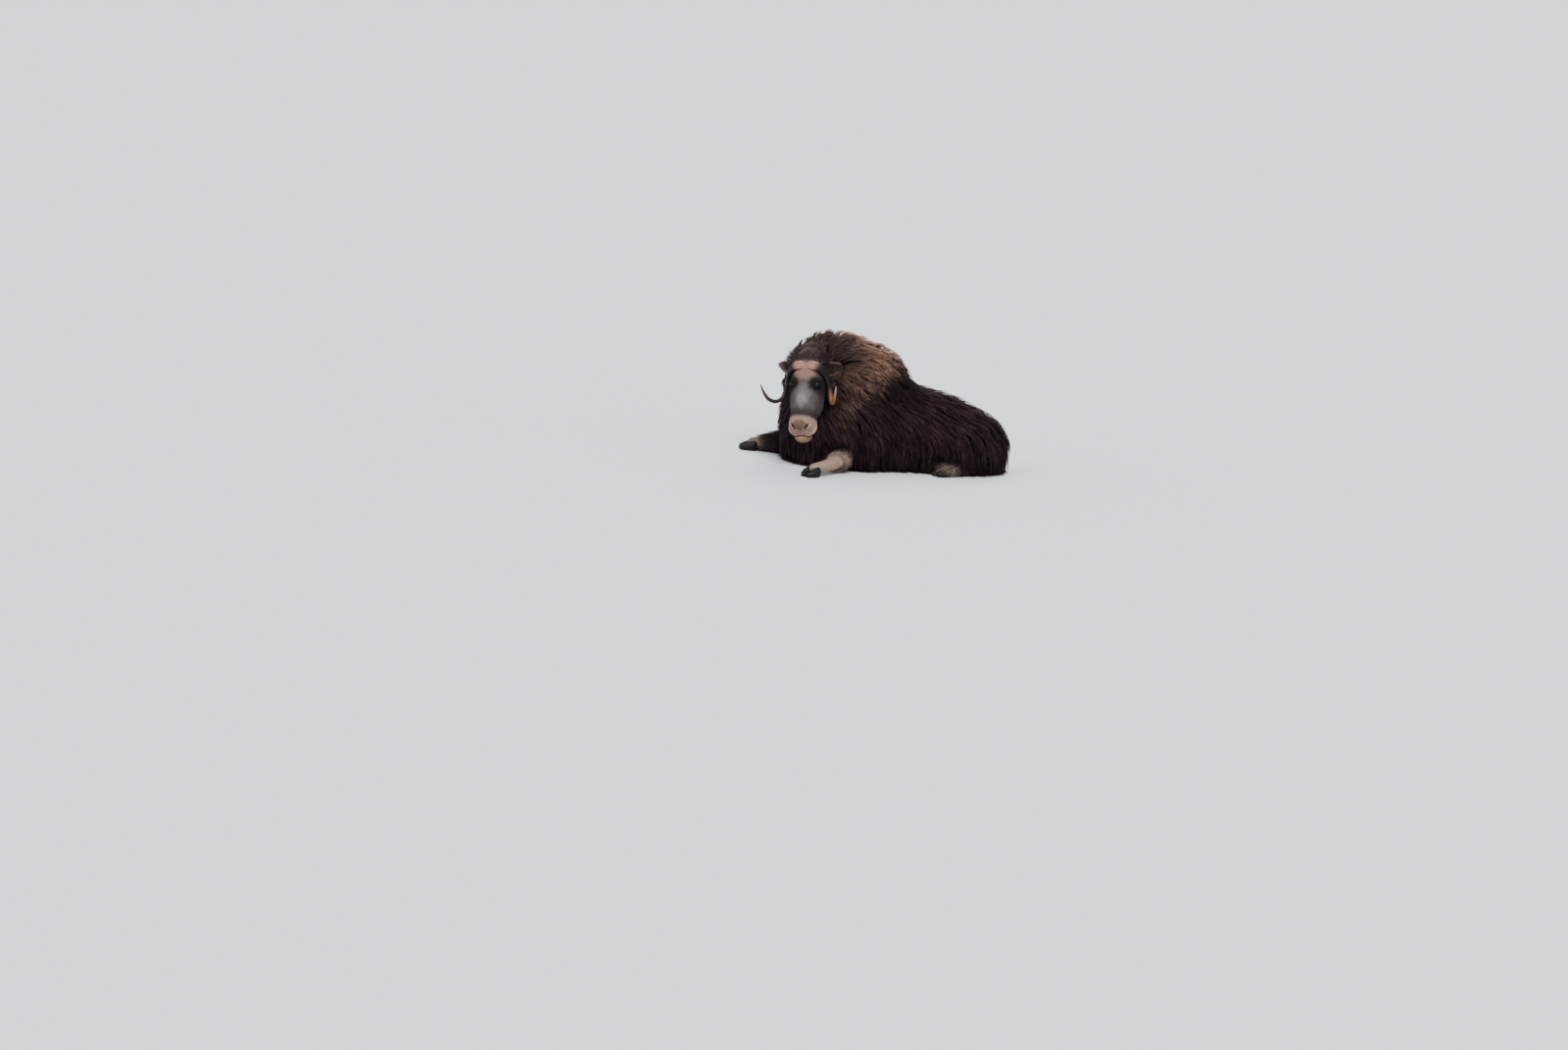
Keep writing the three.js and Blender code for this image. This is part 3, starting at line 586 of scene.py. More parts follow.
def surface(distance, box, cell):
    """Points and four-sided faces of a form's surface in the box, one point in each cell that it crosses."""
    low, high = box
    axes = [np.arange(a, b + cell, cell, dtype=np.float32) for a, b in zip(low, high)]
    size = [len(a) for a in axes]
    values = np.empty(size, dtype=np.float32)
    grid_y, grid_z = np.meshgrid(axes[1], axes[2], indexing="ij")
    slab = max(1, 400000 // grid_y.size)
    for i in range(0, size[0], slab):
        xs = axes[0][i : i + slab]
        p = np.empty((len(xs), *grid_y.shape, 3), dtype=np.float32)
        p[..., 0] = xs[:, None, None]
        p[..., 1] = grid_y
        p[..., 2] = grid_z
        values[i : i + slab] = distance(p.reshape(-1, 3)).reshape(len(xs), *grid_y.shape)
    inside = values < 0
    cells = [n - 1 for n in size]
    corners = [(i, j, k) for i in (0, 1) for j in (0, 1) for k in (0, 1)]
    count = np.zeros(cells, dtype=np.int8)
    for i, j, k in corners:
        count += inside[i : i + cells[0], j : j + cells[1], k : k + cells[2]]
    crossed = np.argwhere((count > 0) & (count < 8))
    number = np.full(cells, -1, dtype=np.int32)
    number[tuple(crossed.T)] = np.arange(len(crossed))
    total = np.zeros((len(crossed), 3))
    found = np.zeros(len(crossed))
    for a in corners:
        for axis in range(3):
            if a[axis]:
                continue
            b = list(a)
            b[axis] = 1
            va = values[tuple((crossed + a).T)].astype(float)
            vb = values[tuple((crossed + b).T)].astype(float)
            cuts = (va < 0) != (vb < 0)
            t = np.where(cuts, va / np.where(cuts, va - vb, 1), 0)
            place = crossed + np.array(a, dtype=float)
            place[:, axis] += t
            total += place * cuts[:, None]
            found += cuts
    points = total / found[:, None] * cell + np.array(low)
    faces = []
    for axis in range(3):
        u, v = (axis + 1) % 3, (axis + 2) % 3
        first = np.moveaxis(inside, axis, 0)[:-1]
        second = np.moveaxis(inside, axis, 0)[1:]
        edges = np.argwhere(np.moveaxis(first != second, 0, axis))
        edges = edges[(edges[:, u] > 0) & (edges[:, v] > 0)]
        around = []
        for du, dv in ((-1, -1), (0, -1), (0, 0), (-1, 0)):
            at = edges.copy()
            at[:, u] += du
            at[:, v] += dv
            around.append(number[tuple(at.T)])
        quads = np.stack(around, axis=1)
        outward = inside[tuple(edges.T)]
        quads[~outward] = quads[~outward][:, ::-1]
        faces.append(quads)
    return points, np.concatenate(faces)


def mesh_object(name, points, quads, triangles=None):
    """A smooth-shaded object from millimetre points; faces are rows of point numbers."""
    triangles = np.empty((0, 3), dtype=np.int32) if triangles is None else triangles
    mesh = bpy.data.meshes.new(name)
    mesh.vertices.add(len(points))
    mesh.vertices.foreach_set("co", (points * MM + shift()).astype(np.float32).ravel())
    loops = np.concatenate([quads.ravel(), triangles.ravel()]).astype(np.int32)
    totals = np.concatenate([np.full(len(quads), 4), np.full(len(triangles), 3)]).astype(np.int32)
    mesh.loops.add(len(loops))
    mesh.loops.foreach_set("vertex_index", loops)
    mesh.polygons.add(len(totals))
    mesh.polygons.foreach_set("loop_start", np.concatenate([[0], np.cumsum(totals)[:-1]]).astype(np.int32))
    mesh.polygons.foreach_set("loop_total", totals)
    mesh.polygons.foreach_set("use_smooth", np.ones(len(totals), dtype=bool))
    mesh.update(calc_edges=True)
    piece = bpy.data.objects.new(name, mesh)
    bpy.context.scene.collection.objects.link(piece)
    return piece


def paint(piece, colours):
    """Gives each point a colour that the materials read."""
    layer = piece.data.color_attributes.new("coat_colour", "FLOAT_COLOR", "POINT")
    rgba = np.ones((len(colours), 4), dtype=np.float32)
    rgba[:, :3] = colours
    layer.data.foreach_set("color", rgba.ravel())


def place_piece(piece, material, slot, *nodes):
    """Gives the piece its material and body, and hides the solids that it replaces; the slot is not used."""
    piece.data.materials.append(material)
    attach(piece, "root")
    if nodes:
        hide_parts(*nodes)


# Materials


class Nodes:
    """A material's nodes, joined by name of socket."""

    def __init__(self, name):
        self.material = bpy.data.materials.new(name)
        self.material.use_nodes = True
        self.tree = self.material.node_tree
        self.shader = self.tree.nodes["Principled BSDF"]

    def put(self, node, socket, value):
        target = node.inputs[socket]
        if isinstance(value, bpy.types.NodeSocket):
            self.tree.links.new(value, target)
        else:
            target.default_value = value

    def set(self, **sockets):
        for key, value in sockets.items():
            self.put(self.shader, key.replace("_", " "), value)

    def noise(self, scale, detail=4.0, roughness=0.55, stretch=(1, 1, 1)):
        place = self.tree.nodes.new("ShaderNodeTexCoord")
        mapping = self.tree.nodes.new("ShaderNodeMapping")
        node = self.tree.nodes.new("ShaderNodeTexNoise")
        self.put(mapping, "Vector", place.outputs["Object"])
        self.put(mapping, "Scale", stretch)
        self.put(node, "Vector", mapping.outputs["Vector"])
        self.put(node, "Scale", scale)
        self.put(node, "Detail", detail)
        self.put(node, "Roughness", roughness)
        return node.outputs["Fac"]

    def between(self, value, low, high, out_low=0.0, out_high=1.0):
        node = self.tree.nodes.new("ShaderNodeMapRange")
        self.put(node, "Value", value)
        self.put(node, "From Min", low)
        self.put(node, "From Max", high)
        self.put(node, "To Min", out_low)
        self.put(node, "To Max", out_high)
        return node.outputs["Result"]

    def mix(self, factor, first, second, kind="MIX"):
        """Mixes two colours; a mix node has its colour sockets at 6 and 7, and its colour output at 2."""
        node = self.tree.nodes.new("ShaderNodeMix")
        node.data_type = "RGBA"
        node.blend_type = kind
        self.put(node, 0, factor)
        for socket, colour in ((6, first), (7, second)):
            self.put(node, socket, (*colour, 1) if isinstance(colour, tuple) else colour)
        return node.outputs[2]

    def painted(self):
        node = self.tree.nodes.new("ShaderNodeAttribute")
        node.attribute_name = "coat_colour"
        return node.outputs["Color"]

    def bump(self, height, strength, distance):
        node = self.tree.nodes.new("ShaderNodeBump")
        self.put(node, "Height", height)
        self.put(node, "Strength", strength)
        self.put(node, "Distance", distance)
        self.put(self.shader, "Normal", node.outputs["Normal"])


def hair_material(name, roughness, sheen, streak_scale):
    n = Nodes(name)
    streaks = n.between(n.noise(streak_scale, 3.0), 0.3, 0.7, 0.72, 1.25)
    n.set(Base_Color=n.mix(1.0, n.painted(), streaks, "MULTIPLY"), Roughness=roughness)
    n.set(Specular_IOR_Level=0.22, Sheen_Weight=sheen, Sheen_Roughness=0.45, Sheen_Tint=(0.95, 0.88, 0.84, 1))
    return n.material


def skin_material():
    n = Nodes("skin_under_coat")
    blotches = n.between(n.noise(90.0), 0.35, 0.65, 0.0, 0.35)
    n.set(Base_Color=n.mix(blotches, n.painted(), (0.03, 0.022, 0.02)), Roughness=0.8, Specular_IOR_Level=0.2)
    n.bump(n.noise(420.0, 6.0, 0.7), 0.5, 0.003)
    return n.material


def horn_material():
    n = Nodes("worn_horn")
    fibres = n.noise(70.0, 6.0, 0.7)
    colour = n.mix(n.between(fibres, 0.35, 0.7, 0.0, 0.8), n.painted(), (0.45, 0.36, 0.30), "MULTIPLY")
    n.set(Base_Color=colour, Roughness=n.between(fibres, 0.3, 0.7, 0.38, 0.62), Specular_IOR_Level=0.3)
    n.bump(n.noise(160.0, 5.0, 0.7), 0.45, 0.002)
    return n.material


def hoof_material():
    n = Nodes("hoof_horn")
    rings = n.noise(60.0, 4.0, 0.6, (1, 1, 5))
    n.set(Base_Color=n.mix(n.between(rings, 0.35, 0.7), (0.006, 0.005, 0.005), (0.024, 0.019, 0.017)))
    n.set(Roughness=n.between(rings, 0.3, 0.7, 0.4, 0.7), Specular_IOR_Level=0.3)
    n.bump(rings, 0.5, 0.002)
    return n.material


def eye_material():
    n = Nodes("wet_eye")
    n.set(Base_Color=n.painted(), Roughness=0.2, Specular_IOR_Level=0.2, Coat_Weight=0.6, Coat_Roughness=0.04)
    return n.material


# The coat


class Tufts(NamedTuple):
    """Hairs, one row each. The first three give each ring's middle, and its ways to the side and up."""

    centre: np.ndarray
    side: np.ndarray
    rise: np.ndarray
    width: np.ndarray
    roots: np.ndarray
    marks: np.ndarray  # the places that the hairs take their colours by

    def chosen(self, rows):
        return Tufts(*(values[rows] for values in self))


def lie_of(p):
    """The way the long coat lies: back and down over the body, and down in the skirt, beard and chest."""
    low = falling(p[:, 2], 130, 430)
    side = np.clip(p[:, 1] / 130, -1, 1)
    lie = np.stack([lerp(-0.9, -0.22, low), lerp(0.65, 0.1, low) * side, lerp(-0.35, -1, low)], axis=1)
    ones = np.ones_like(low)
    rump = np.stack([-0.5 * ones, 0.2 * side, -0.9 * ones], axis=1)
    chest = np.stack([0.08 * ones, 0.15 * side, -ones], axis=1)
    lie = blend(lie, rump, smoothstep(-p[:, 0], 620, 800))
    lie = blend(lie, chest, smoothstep(p[:, 0], 330, 430))
    collar = from_collar(p)
    mane = COLLAR_NORMAL + np.stack([0 * ones, 0 * ones, -0.9 * falling(p[:, 2], 480, 620)], axis=1)
    lie = blend(lie, mane, falling(collar, 80, 260))
    crest = falling(to_head(p)[:, 0], -10, 60) * falling(collar, -60, 30)
    lie = blend(lie, -0.8 * HEAD_AXES[:, 0] + 0.6 * COLLAR_NORMAL, crest)
    waves = np.sin(p[:, 0] / 67 + p[:, 2] / 41) + np.sin(p[:, 1] / 53 - p[:, 2] / 89 + 1.7)
    return unit(lie + 0.09 * waves[:, None] * np.array([1, 0.4, -0.3]))


def roots_on(rng, keep, cell):
    """Random places on the skin, thinned to about one in each cell, where keep says so."""
    points, faces = BUILT["surface"]
    a, b, c, d = (points[faces[:, i]] for i in range(4))
    halves = np.concatenate([np.stack([a, b, c], axis=1), np.stack([a, c, d], axis=1)])
    area = np.linalg.norm(np.cross(halves[:, 1] - halves[:, 0], halves[:, 2] - halves[:, 0]), axis=1) / 2
    count = int(area.sum() / cell**2 * 4)
    t = halves[rng.choice(len(halves), count, p=area / area.sum())]
    u = np.sqrt(rng.random(count))[:, None]
    v = rng.random(count)[:, None]
    p = t[:, 0] * (1 - u) + t[:, 1] * u * (1 - v) + t[:, 2] * u * v
    p = p[keep(p)]
    _, first = np.unique(np.floor(p / cell).astype(int), axis=0, return_index=True)
    return p[np.sort(first)]


def pushed_off(distance, p, gap, most):
    """The points that are nearer to a form than the gap, moved out of it, each by no more than the most."""
    return p + slope(distance, p, 2.0) * np.clip(gap - distance(p), 0, most)[:, None]


def long_paths(form, rng, roots, lengths, lift):
    """Each lock's path from its root, and the ways out of the flesh along it.

    A lock follows the lie, rises through the coat and stays off the legs, the ears and the floor.
    """
    p = roots.copy()
    sway = rng.normal(0, 0.2, len(p))
    top = rng.uniform(0.72, 1.0, len(p))
    path = np.empty((len(p), LOCK_STEPS + 1, 3))
    outs = np.empty_like(path)
    for i in range(LOCK_STEPS + 1):
        t = i / LOCK_STEPS
        wanted = lerp(-0.04, top, 1 - np.exp(-t * lengths / lift))
        out = slope(form.flesh, p, 2.0)
        move = wanted * form.coat_depth(p) - form.flesh(p)
        hangs = smoothstep(-out[:, 2], 0.05, 0.35)
        move = np.where(move < 0, move * (1 - hangs), move)
        p = p + out * np.clip(move, -18, 18)[:, None]
        p = pushed_off(form.legs, p, LEG_GAP, 14)
        p = pushed_off(form.ears, p, EAR_GAP, 12)
        p[:, 2] = np.maximum(p[:, 2], 4 + 5 * rng.random(len(p)))
        path[:, i] = p
        outs[:, i] = out
        lie = lie_of(p)
        lie = lie - out * (dots(lie, out) * (1 - hangs))[:, None]
        lie = blend(lie, DOWN, 0.8 * hangs)
        lie = unit(lie + np.cross(out, lie) * (sway * math.sin(math.pi * t))[:, None])
        on_floor = p[:, 2] < ON_FLOOR
        lie[on_floor] = unit(lie[on_floor] * LEVEL + 0.4 * out[on_floor] * LEVEL)
        p = p + lie * (lengths / LOCK_STEPS)[:, None] * np.where(on_floor, 0.35, 1.0)[:, None]
    return path, outs


def lies_well(form, path):
    """Which locks keep clear of the ears, and bend nowhere sharply above the floor."""
    clear = np.min([form.ears(path[:, i]) for i in range(LOCK_STEPS + 1)], axis=0) > CLEAR_OF_EARS
    runs = unit(np.diff(path, axis=1))
    sharp = (dots(runs[:, 1:], runs[:, :-1]) < 0.25) & (path[:, 1:-1, 2] > 60)
    return clear & ~sharp.any(axis=1)


def on_path(values, lock, at):
    """Each strand's value on its lock's path, between the two steps that it is at."""
    low = np.minimum(at.astype(int), LOCK_STEPS - 1)
    return blend(values[lock, low], values[lock, low + 1], at - low)


def strands(rng, path, outs, each, spread, gather, frizz):
    """Splits each lock into strands, which start spread round its root and draw together towards its tip."""
    along = unit(np.gradient(path, axis=1))
    across = unit(np.cross(outs, along))
    up = np.cross(along, across)
    lock = np.repeat(np.arange(len(path)), each)
    n = len(lock)
    share = rng.uniform(0.62, 1.0, n)
    turn = rng.uniform(0, 2 * np.pi, n)
    far = np.sqrt(rng.random(n)) * spread[lock]
    phase = rng.uniform(0, 2 * np.pi, (n, 2))
    waves = rng.uniform(1.2, 2.6, n)
    size = frizz[lock] * rng.uniform(0.3, 1.3, n)
    centre = np.empty((n, STRAND_RINGS + 1, 3))
    side = np.empty_like(centre)
    rise = np.empty_like(centre)
    for i, s in enumerate(np.linspace(0, 1, STRAND_RINGS + 1)):
        at = share * s * LOCK_STEPS
        side[:, i] = unit(on_path(across, lock, at))
        rise[:, i] = unit(on_path(up, lock, at))
        run = unit(on_path(along, lock, at))
        close = lerp(1.0, gather[lock], s**0.8)
        curl = size * s**0.7
        wave = 2 * np.pi * waves * s
        to_side = far * np.cos(turn) * close + curl * np.sin(wave + phase[:, 0])
        # The root's spread along the lie closes towards the tip, so that roots cover the skin evenly
        ahead = far * np.sin(turn) * (1 - s)
        upward = curl * 0.6 * np.sin(wave + phase[:, 1])
        middle = on_path(path, lock, at) + side[:, i] * to_side[:, None]
        centre[:, i] = middle + run * ahead[:, None] + rise[:, i] * upward[:, None]
    centre[:, :, 2] = np.maximum(centre[:, :, 2], LONG_HAIR_FLOOR)
    return centre, side, rise


def short_hairs(rng, roots, lie, out, length, lift):
    """Short hairs that lie nearly flat: their rings' middles, and the ways to the side and up."""
    lie = unit(lie - out * dots(lie, out)[:, None])
    lie = unit(lie + np.cross(out, lie) * rng.normal(0, 0.18, len(roots))[:, None])
    centre = np.empty((len(roots), SHORT_RINGS + 1, 3))
    for i, s in enumerate(np.linspace(0, 1, SHORT_RINGS + 1)):
        up = lerp(-1.0, lift, s**0.8)
        centre[:, i] = roots + lie * (length * s)[:, None] + out * up[:, None]
    centre[:, :, 2] = np.maximum(centre[:, :, 2], SHORT_HAIR_FLOOR)
    side = np.repeat(np.cross(out, lie)[:, None], SHORT_RINGS + 1, axis=1)
    rise = np.repeat(out[:, None], SHORT_RINGS + 1, axis=1)
    return centre, side, rise


def tuft_mesh(tufts):
    """Closed three-sided tapered hairs: points, quads, triangles, and each point's share of the length."""
    n, rings = tufts.centre.shape[:2]
    body = rings - 1
    t = np.linspace(0, 1, rings)
    taper = np.interp(t[:-1], [0, 0.25, 0.6, 1], [0.7, 1.0, 0.8, 0.15])
    w = tufts.width[:, None, None] * taper[None, :, None]
    centre, side, rise = (values[:, :-1] for values in (tufts.centre, tufts.side, tufts.rise))
    left = centre - side * w / 2 - rise * w * 0.12
    right = centre + side * w / 2 - rise * w * 0.12
    ridge = centre + rise * w * 0.3
    walls = np.stack([left, right, ridge], axis=2).reshape(n, body * 3, 3)
    points = np.concatenate([walls, tufts.centre[:, -1:]], axis=1).reshape(-1, 3)
    quads = []
    for i in range(body - 1):
        for j in range(3):
            a, b = i * 3 + j, i * 3 + (j + 1) % 3
            quads.append((a, b, b + 3, a + 3))
    last = (body - 1) * 3
    triangles = [(last + j, last + (j + 1) % 3, body * 3) for j in range(3)] + [(0, 2, 1)]
    offset = (np.arange(n) * (body * 3 + 1))[:, None, None]
    quads = (np.array(quads)[None] + offset).reshape(-1, 4)
    triangles = (np.array(triangles)[None] + offset).reshape(-1, 3)
    along = np.tile(np.concatenate([np.repeat(t[:-1], 3), [1.0]]), n)
    return points, quads, triangles, along


def map_tufts(piece, roots, per, along):
    """Lays each tuft, of so many points per hair, as a small patch at its root's place on the unwrap."""
    tree, corners, places = BUILT["unwrap"]
    uv = np.empty((len(roots), 2))
    for i, root in enumerate(roots * MM + shift()):
        hit, _, face, _ = tree.find_nearest(Vector(root))
        a, b, c = corners[face]
        v0, v1, v2 = b - a, c - a, np.array(hit) - a
        d00, d01, d11 = v0 @ v0, v0 @ v1, v1 @ v1
        d20, d21 = v2 @ v0, v2 @ v1
        whole = max(d00 * d11 - d01 * d01, 1e-18)
        v = (d11 * d20 - d01 * d21) / whole
        w = (d00 * d21 - d01 * d20) / whole
        uv[i] = np.array([1 - v - w, v, w]) @ places[face]
    ring = np.array([-PATCH / 2, PATCH / 2, 0.0])
    across = np.tile(np.concatenate([np.tile(ring, per // 3), [0.0]]), len(roots))
    spot = np.repeat(uv, per, axis=0) + np.stack([across, (along - 0.5) * PATCH], axis=1)
    loops = np.empty(len(piece.data.loops), dtype=np.int32)
    piece.data.loops.foreach_get("vertex_index", loops)
    layer = piece.data.uv_layers.new(name="OFBake")
    layer.data.foreach_set("uv", np.clip(spot[loops], 0, 1).astype(np.float32).ravel())


def coat_piece(name, material, slot, colour, rng, tufts):
    """One piece of the coat: its hairs' mesh, painted by their marks and with a tint of its own for each."""
    points, quads, triangles, along = tuft_mesh(tufts)
    piece = mesh_object(name, points, quads, triangles)
    per = len(points) // len(tufts.roots)
    tint = np.repeat(rng.random(len(tufts.roots)), per)
    paint(piece, colour(np.repeat(tufts.marks, per, axis=0), along, tint))
    map_tufts(piece, tufts.roots, per, along)
    place_piece(piece, material, slot)


# Markings, by place; along is a point's share of its hair's length, and each is a number of the hair's own


def coat_colour(tones, marks, along, each):
    """Brown behind the head, tawny over the hump, and a dark body with lighter streaks."""
    x, y, z = marks.T
    wander = 20 * np.sin(x / 61 + z / 83) + 14 * np.sin(x / 37 - y / 45 + 2)
    line = np.interp(x, *TAWNY_LINE)
    over = z - line + 1.5 * wander + 150 * (each - 0.5)
    above = smoothstep(over, -60, 85) * smoothstep(-x, -400, -300)
    paler = smoothstep(from_collar(marks) + 60 * (each - 0.5), 15, 250)
    tip = smoothstep(along, 0.2, 1.0)
    patches = 0.5 + 0.5 * np.sin(x / 97 + y / 71) * np.sin(z / 59 - x / 133 + 1)
    streak = smoothstep(np.sin(x / 13 + 5 * each) + np.sin(x / 29 + 1), 0.8, 1.6)
    low = falling(z, 200, 400) * streak * tip
    dark = blend(tones.coat_dark, tones.coat_red, (0.3 + 0.5 * patches) * each * tip)
    dark = blend(dark, tones.coat_streak, 0.65 * low)
    dark = blend(dark, tones.neck_brown, 0.7 * smoothstep(over, -170, 0) * tip)
    pale = blend(tones.mane_deep, tones.mane_tawny, 0.2 + 0.8 * tip * each**0.5)
    brown = tones.neck_brown * (0.6 + 0.8 * each * tip)[:, None]
    return blend(dark, blend(brown, pale, paler), above)


def face_colour(tones, form, marks, each):
    """A pale boss, tan brow, grey bridge, dark eyes and cheeks, and a beige muzzle, in the head's frame."""
    m = to_half_head(marks)
    x, y, z = m.T
    ahead = x + 0.5 * np.minimum(z + 118, 0)
    blotch = 5 * np.sin(x / 17 + y / 9) + 5 * np.sin(x / 11 - y / 14 + 2)
    from_bridge = np.hypot((x - 238) / 1.5, y) + blotch + 30 * (each - 0.5)
    cheek = smoothstep(y + 0.6 * (-70 - z) + blotch, 40, 88)
    from_eye = np.linalg.norm(m - EYE, axis=1)
    wool = falling(x, 70, 100) * falling(y, 50, 85) * smoothstep(z, -50, -22) * smoothstep(x, 44, 56)
    pad = falling(np.hypot(y / 46, (x - 397) / 25) + 0.015 * blotch, 0.8, 1.15)
    lip_line = falling(chain(m, form.mouth), 1.5, 6)
    # Each marking lies over those before it
    markings = [
        (tones.bridge_pale, 0.85 * falling(from_bridge, 2, 62)),
        (tones.face_dark, cheek * (1 - 0.6 * smoothstep(x, 175, 245))),
        (tones.face_grey, 0.8 * smoothstep(each, 0.72, 0.95) * cheek * smoothstep(x, 120, 220)),
        (tones.face_dark, 0.7 * smoothstep(x, 285, 325) * falling(x, 336, 354)),
        (tones.brow_tan, 0.9 * falling(x, 112, 160) * falling(y, 48, 82) * smoothstep(z, -90, -40)),
        (tones.eye_patch, falling(from_eye, 30, 60)),
        (tones.boss_cream, 0.85 * wool),
        (tones.muzzle_beige, 0.95 * smoothstep(ahead, 338, 362)),
        (tones.nose_pad, 0.85 * pad * smoothstep(z, -116, -104)),
        (tones.lip_white, 0.8 * smoothstep(-z + 0.1 * y, 104, 114) * smoothstep(ahead, 335, 375)),
        (tones.chin_tan, 0.85 * smoothstep(-z, 121, 134) * smoothstep(ahead, 345, 380)),
        (tones.mouth_line, 0.9 * lip_line * smoothstep(x, 330, 370)),
        (tones.nostril_dark, falling(chain(m, form.nostril), 0, 3)),
        (tones.poll_brown, falling(x, 34, 52) * (1 - wool)),
    ]
    colour = np.tile(tones.face_grey, (len(m), 1))
    for tone, amount in markings:
        colour = blend(colour, tone, amount)
    rim = np.maximum(smoothstep(form.ear_width(m), 0.5, 0.85), 0.8 * smoothstep(y, 150, 190))
    ears = blend(tones.ear_dark, tones.ear_rim, 0.9 * rim)
    colour = blend(colour, ears, smoothstep(y, 98, 114) * falling(x, 70, 100))
    return colour * (0.85 + 0.3 * each)[:, None]


def leg_colour(tones, form, marks, each):
    """Pale stockings, darker towards the body, and on the right foreleg dark nearly down to the hoof, partly
    its own dark hair and partly painted shade.
    """
    pale = blend(tones.stocking_dark, tones.stocking, each)
    dark = form.near_body(marks)
    # Painted shade on the far right foreleg, over its dark hair, reaching nearly to the hoof.
    forearm = np.maximum(dark, 0.97 - 0.65 * smoothstep(marks[:, 0], 450, 505))
    return blend(pale, tones.coat_dark * 1.2, np.where(on_right_foreleg(marks), forearm, dark))


def zones(form, p):
    """The zone that each point of the skin belongs to."""
    h = to_head(p)
    head = form.bare_head(h)
    ear = form.ears(p)
    ear = np.where(ear < head + 3, ear, 1e6)
    return np.stack([form.behind_poll(p), head, form.legs(p), ear, form.tail(p)]).argmin(axis=0)


def skin_colour(tones, form, points):
    """The markings of the coat on the skin, as of the middle of a hair."""
    zone = zones(form, points)
    half = np.full(len(points), 0.5)
    on_head = (zone == HEAD) | (zone == EAR)
    body = coat_colour(tones, points, half, half)
    colour = np.where(on_head[:, None], face_colour(tones, form, points, half), body)
    return SKIN_SHADE * np.where((zone == LEG)[:, None], leg_colour(tones, form, points, half), colour)


def long_on_head(p):
    """Where the head carries long hair: behind the horns, and below a line from the ear to the jaw."""
    h = to_head(p)
    behind = h[:, 0] < 20
    below = (h[:, 2] < -104 - 0.36 * (h[:, 0] - 40)) & (h[:, 0] < 320)
    return behind | below


def face_lie(h, ear, chin):
    """The way the short hair lies: up the face to the poll, back under the chin, and out along the ears."""
    x, y, z = h.T
    cheek = smoothstep(-z, 60, 130)
    lie = np.stack([-np.ones_like(x), 0.25 * np.clip(y / 45, -1, 1), -0.6 * cheek], axis=1)
    lie = blend(lie, np.array([-0.6, 0, -0.9]), chin)
    out_ear = np.stack([-0.3 * np.ones_like(x), np.sign(y), 0 * x], axis=1)
    return blend(lie, out_ear, ear) @ HEAD_AXES.T


# The add-on


def length_property(name, description, default):
    return FloatProperty(name=name, description=description, default=default, unit="LENGTH")


def colour_property(name, description, default):
    return FloatVectorProperty(
        name=name, description=description, default=default, subtype="COLOR", min=0, max=1
    )


class MuskoxSizes(bpy.types.PropertyGroup):
    hump_top: length_property("Hump height", "Skin height over the shoulders", 0.640)
    croup_top: length_property("Croup height", "Skin height over the pelvis", 0.318)
    body_back: length_property("Buttocks", "Where the skin ends behind", -0.855)
    chest_width: length_property("Chest width", "Width of the chest", 0.420)
    belly_width: length_property("Belly width", "Width of the belly", 0.500)
    body_coat: length_property("Body coat", "Depth of the coat on the body", 0.080)
    hump_coat: length_property("Hump coat", "Depth of the mane", 0.110)
    face_coat: length_property("Face coat", "Depth of the face's hair", 0.006)
    eye_radius: length_property("Eye radius", "Radius of an eyeball", 0.019)
    body_cell: length_property("Body cell", "Fineness of the body's skin", 0.010)
    head_cell: length_property("Head cell", "Fineness of the head's skin", 0.0034)
    lock_gap: length_property("Lock gap", "Distance between long locks", 0.021)
    hair_width: length_property("Hair width", "Width of a long hair tuft", 0.0048)
    hoof_length: length_property("Hoof length", "Length of a claw", 0.098)
    hoof_width: length_property("Hoof width", "Width of a claw", 0.046)
    strands: IntProperty(name="Hairs a lock", description="Hair tufts in each long lock", default=11, min=1)


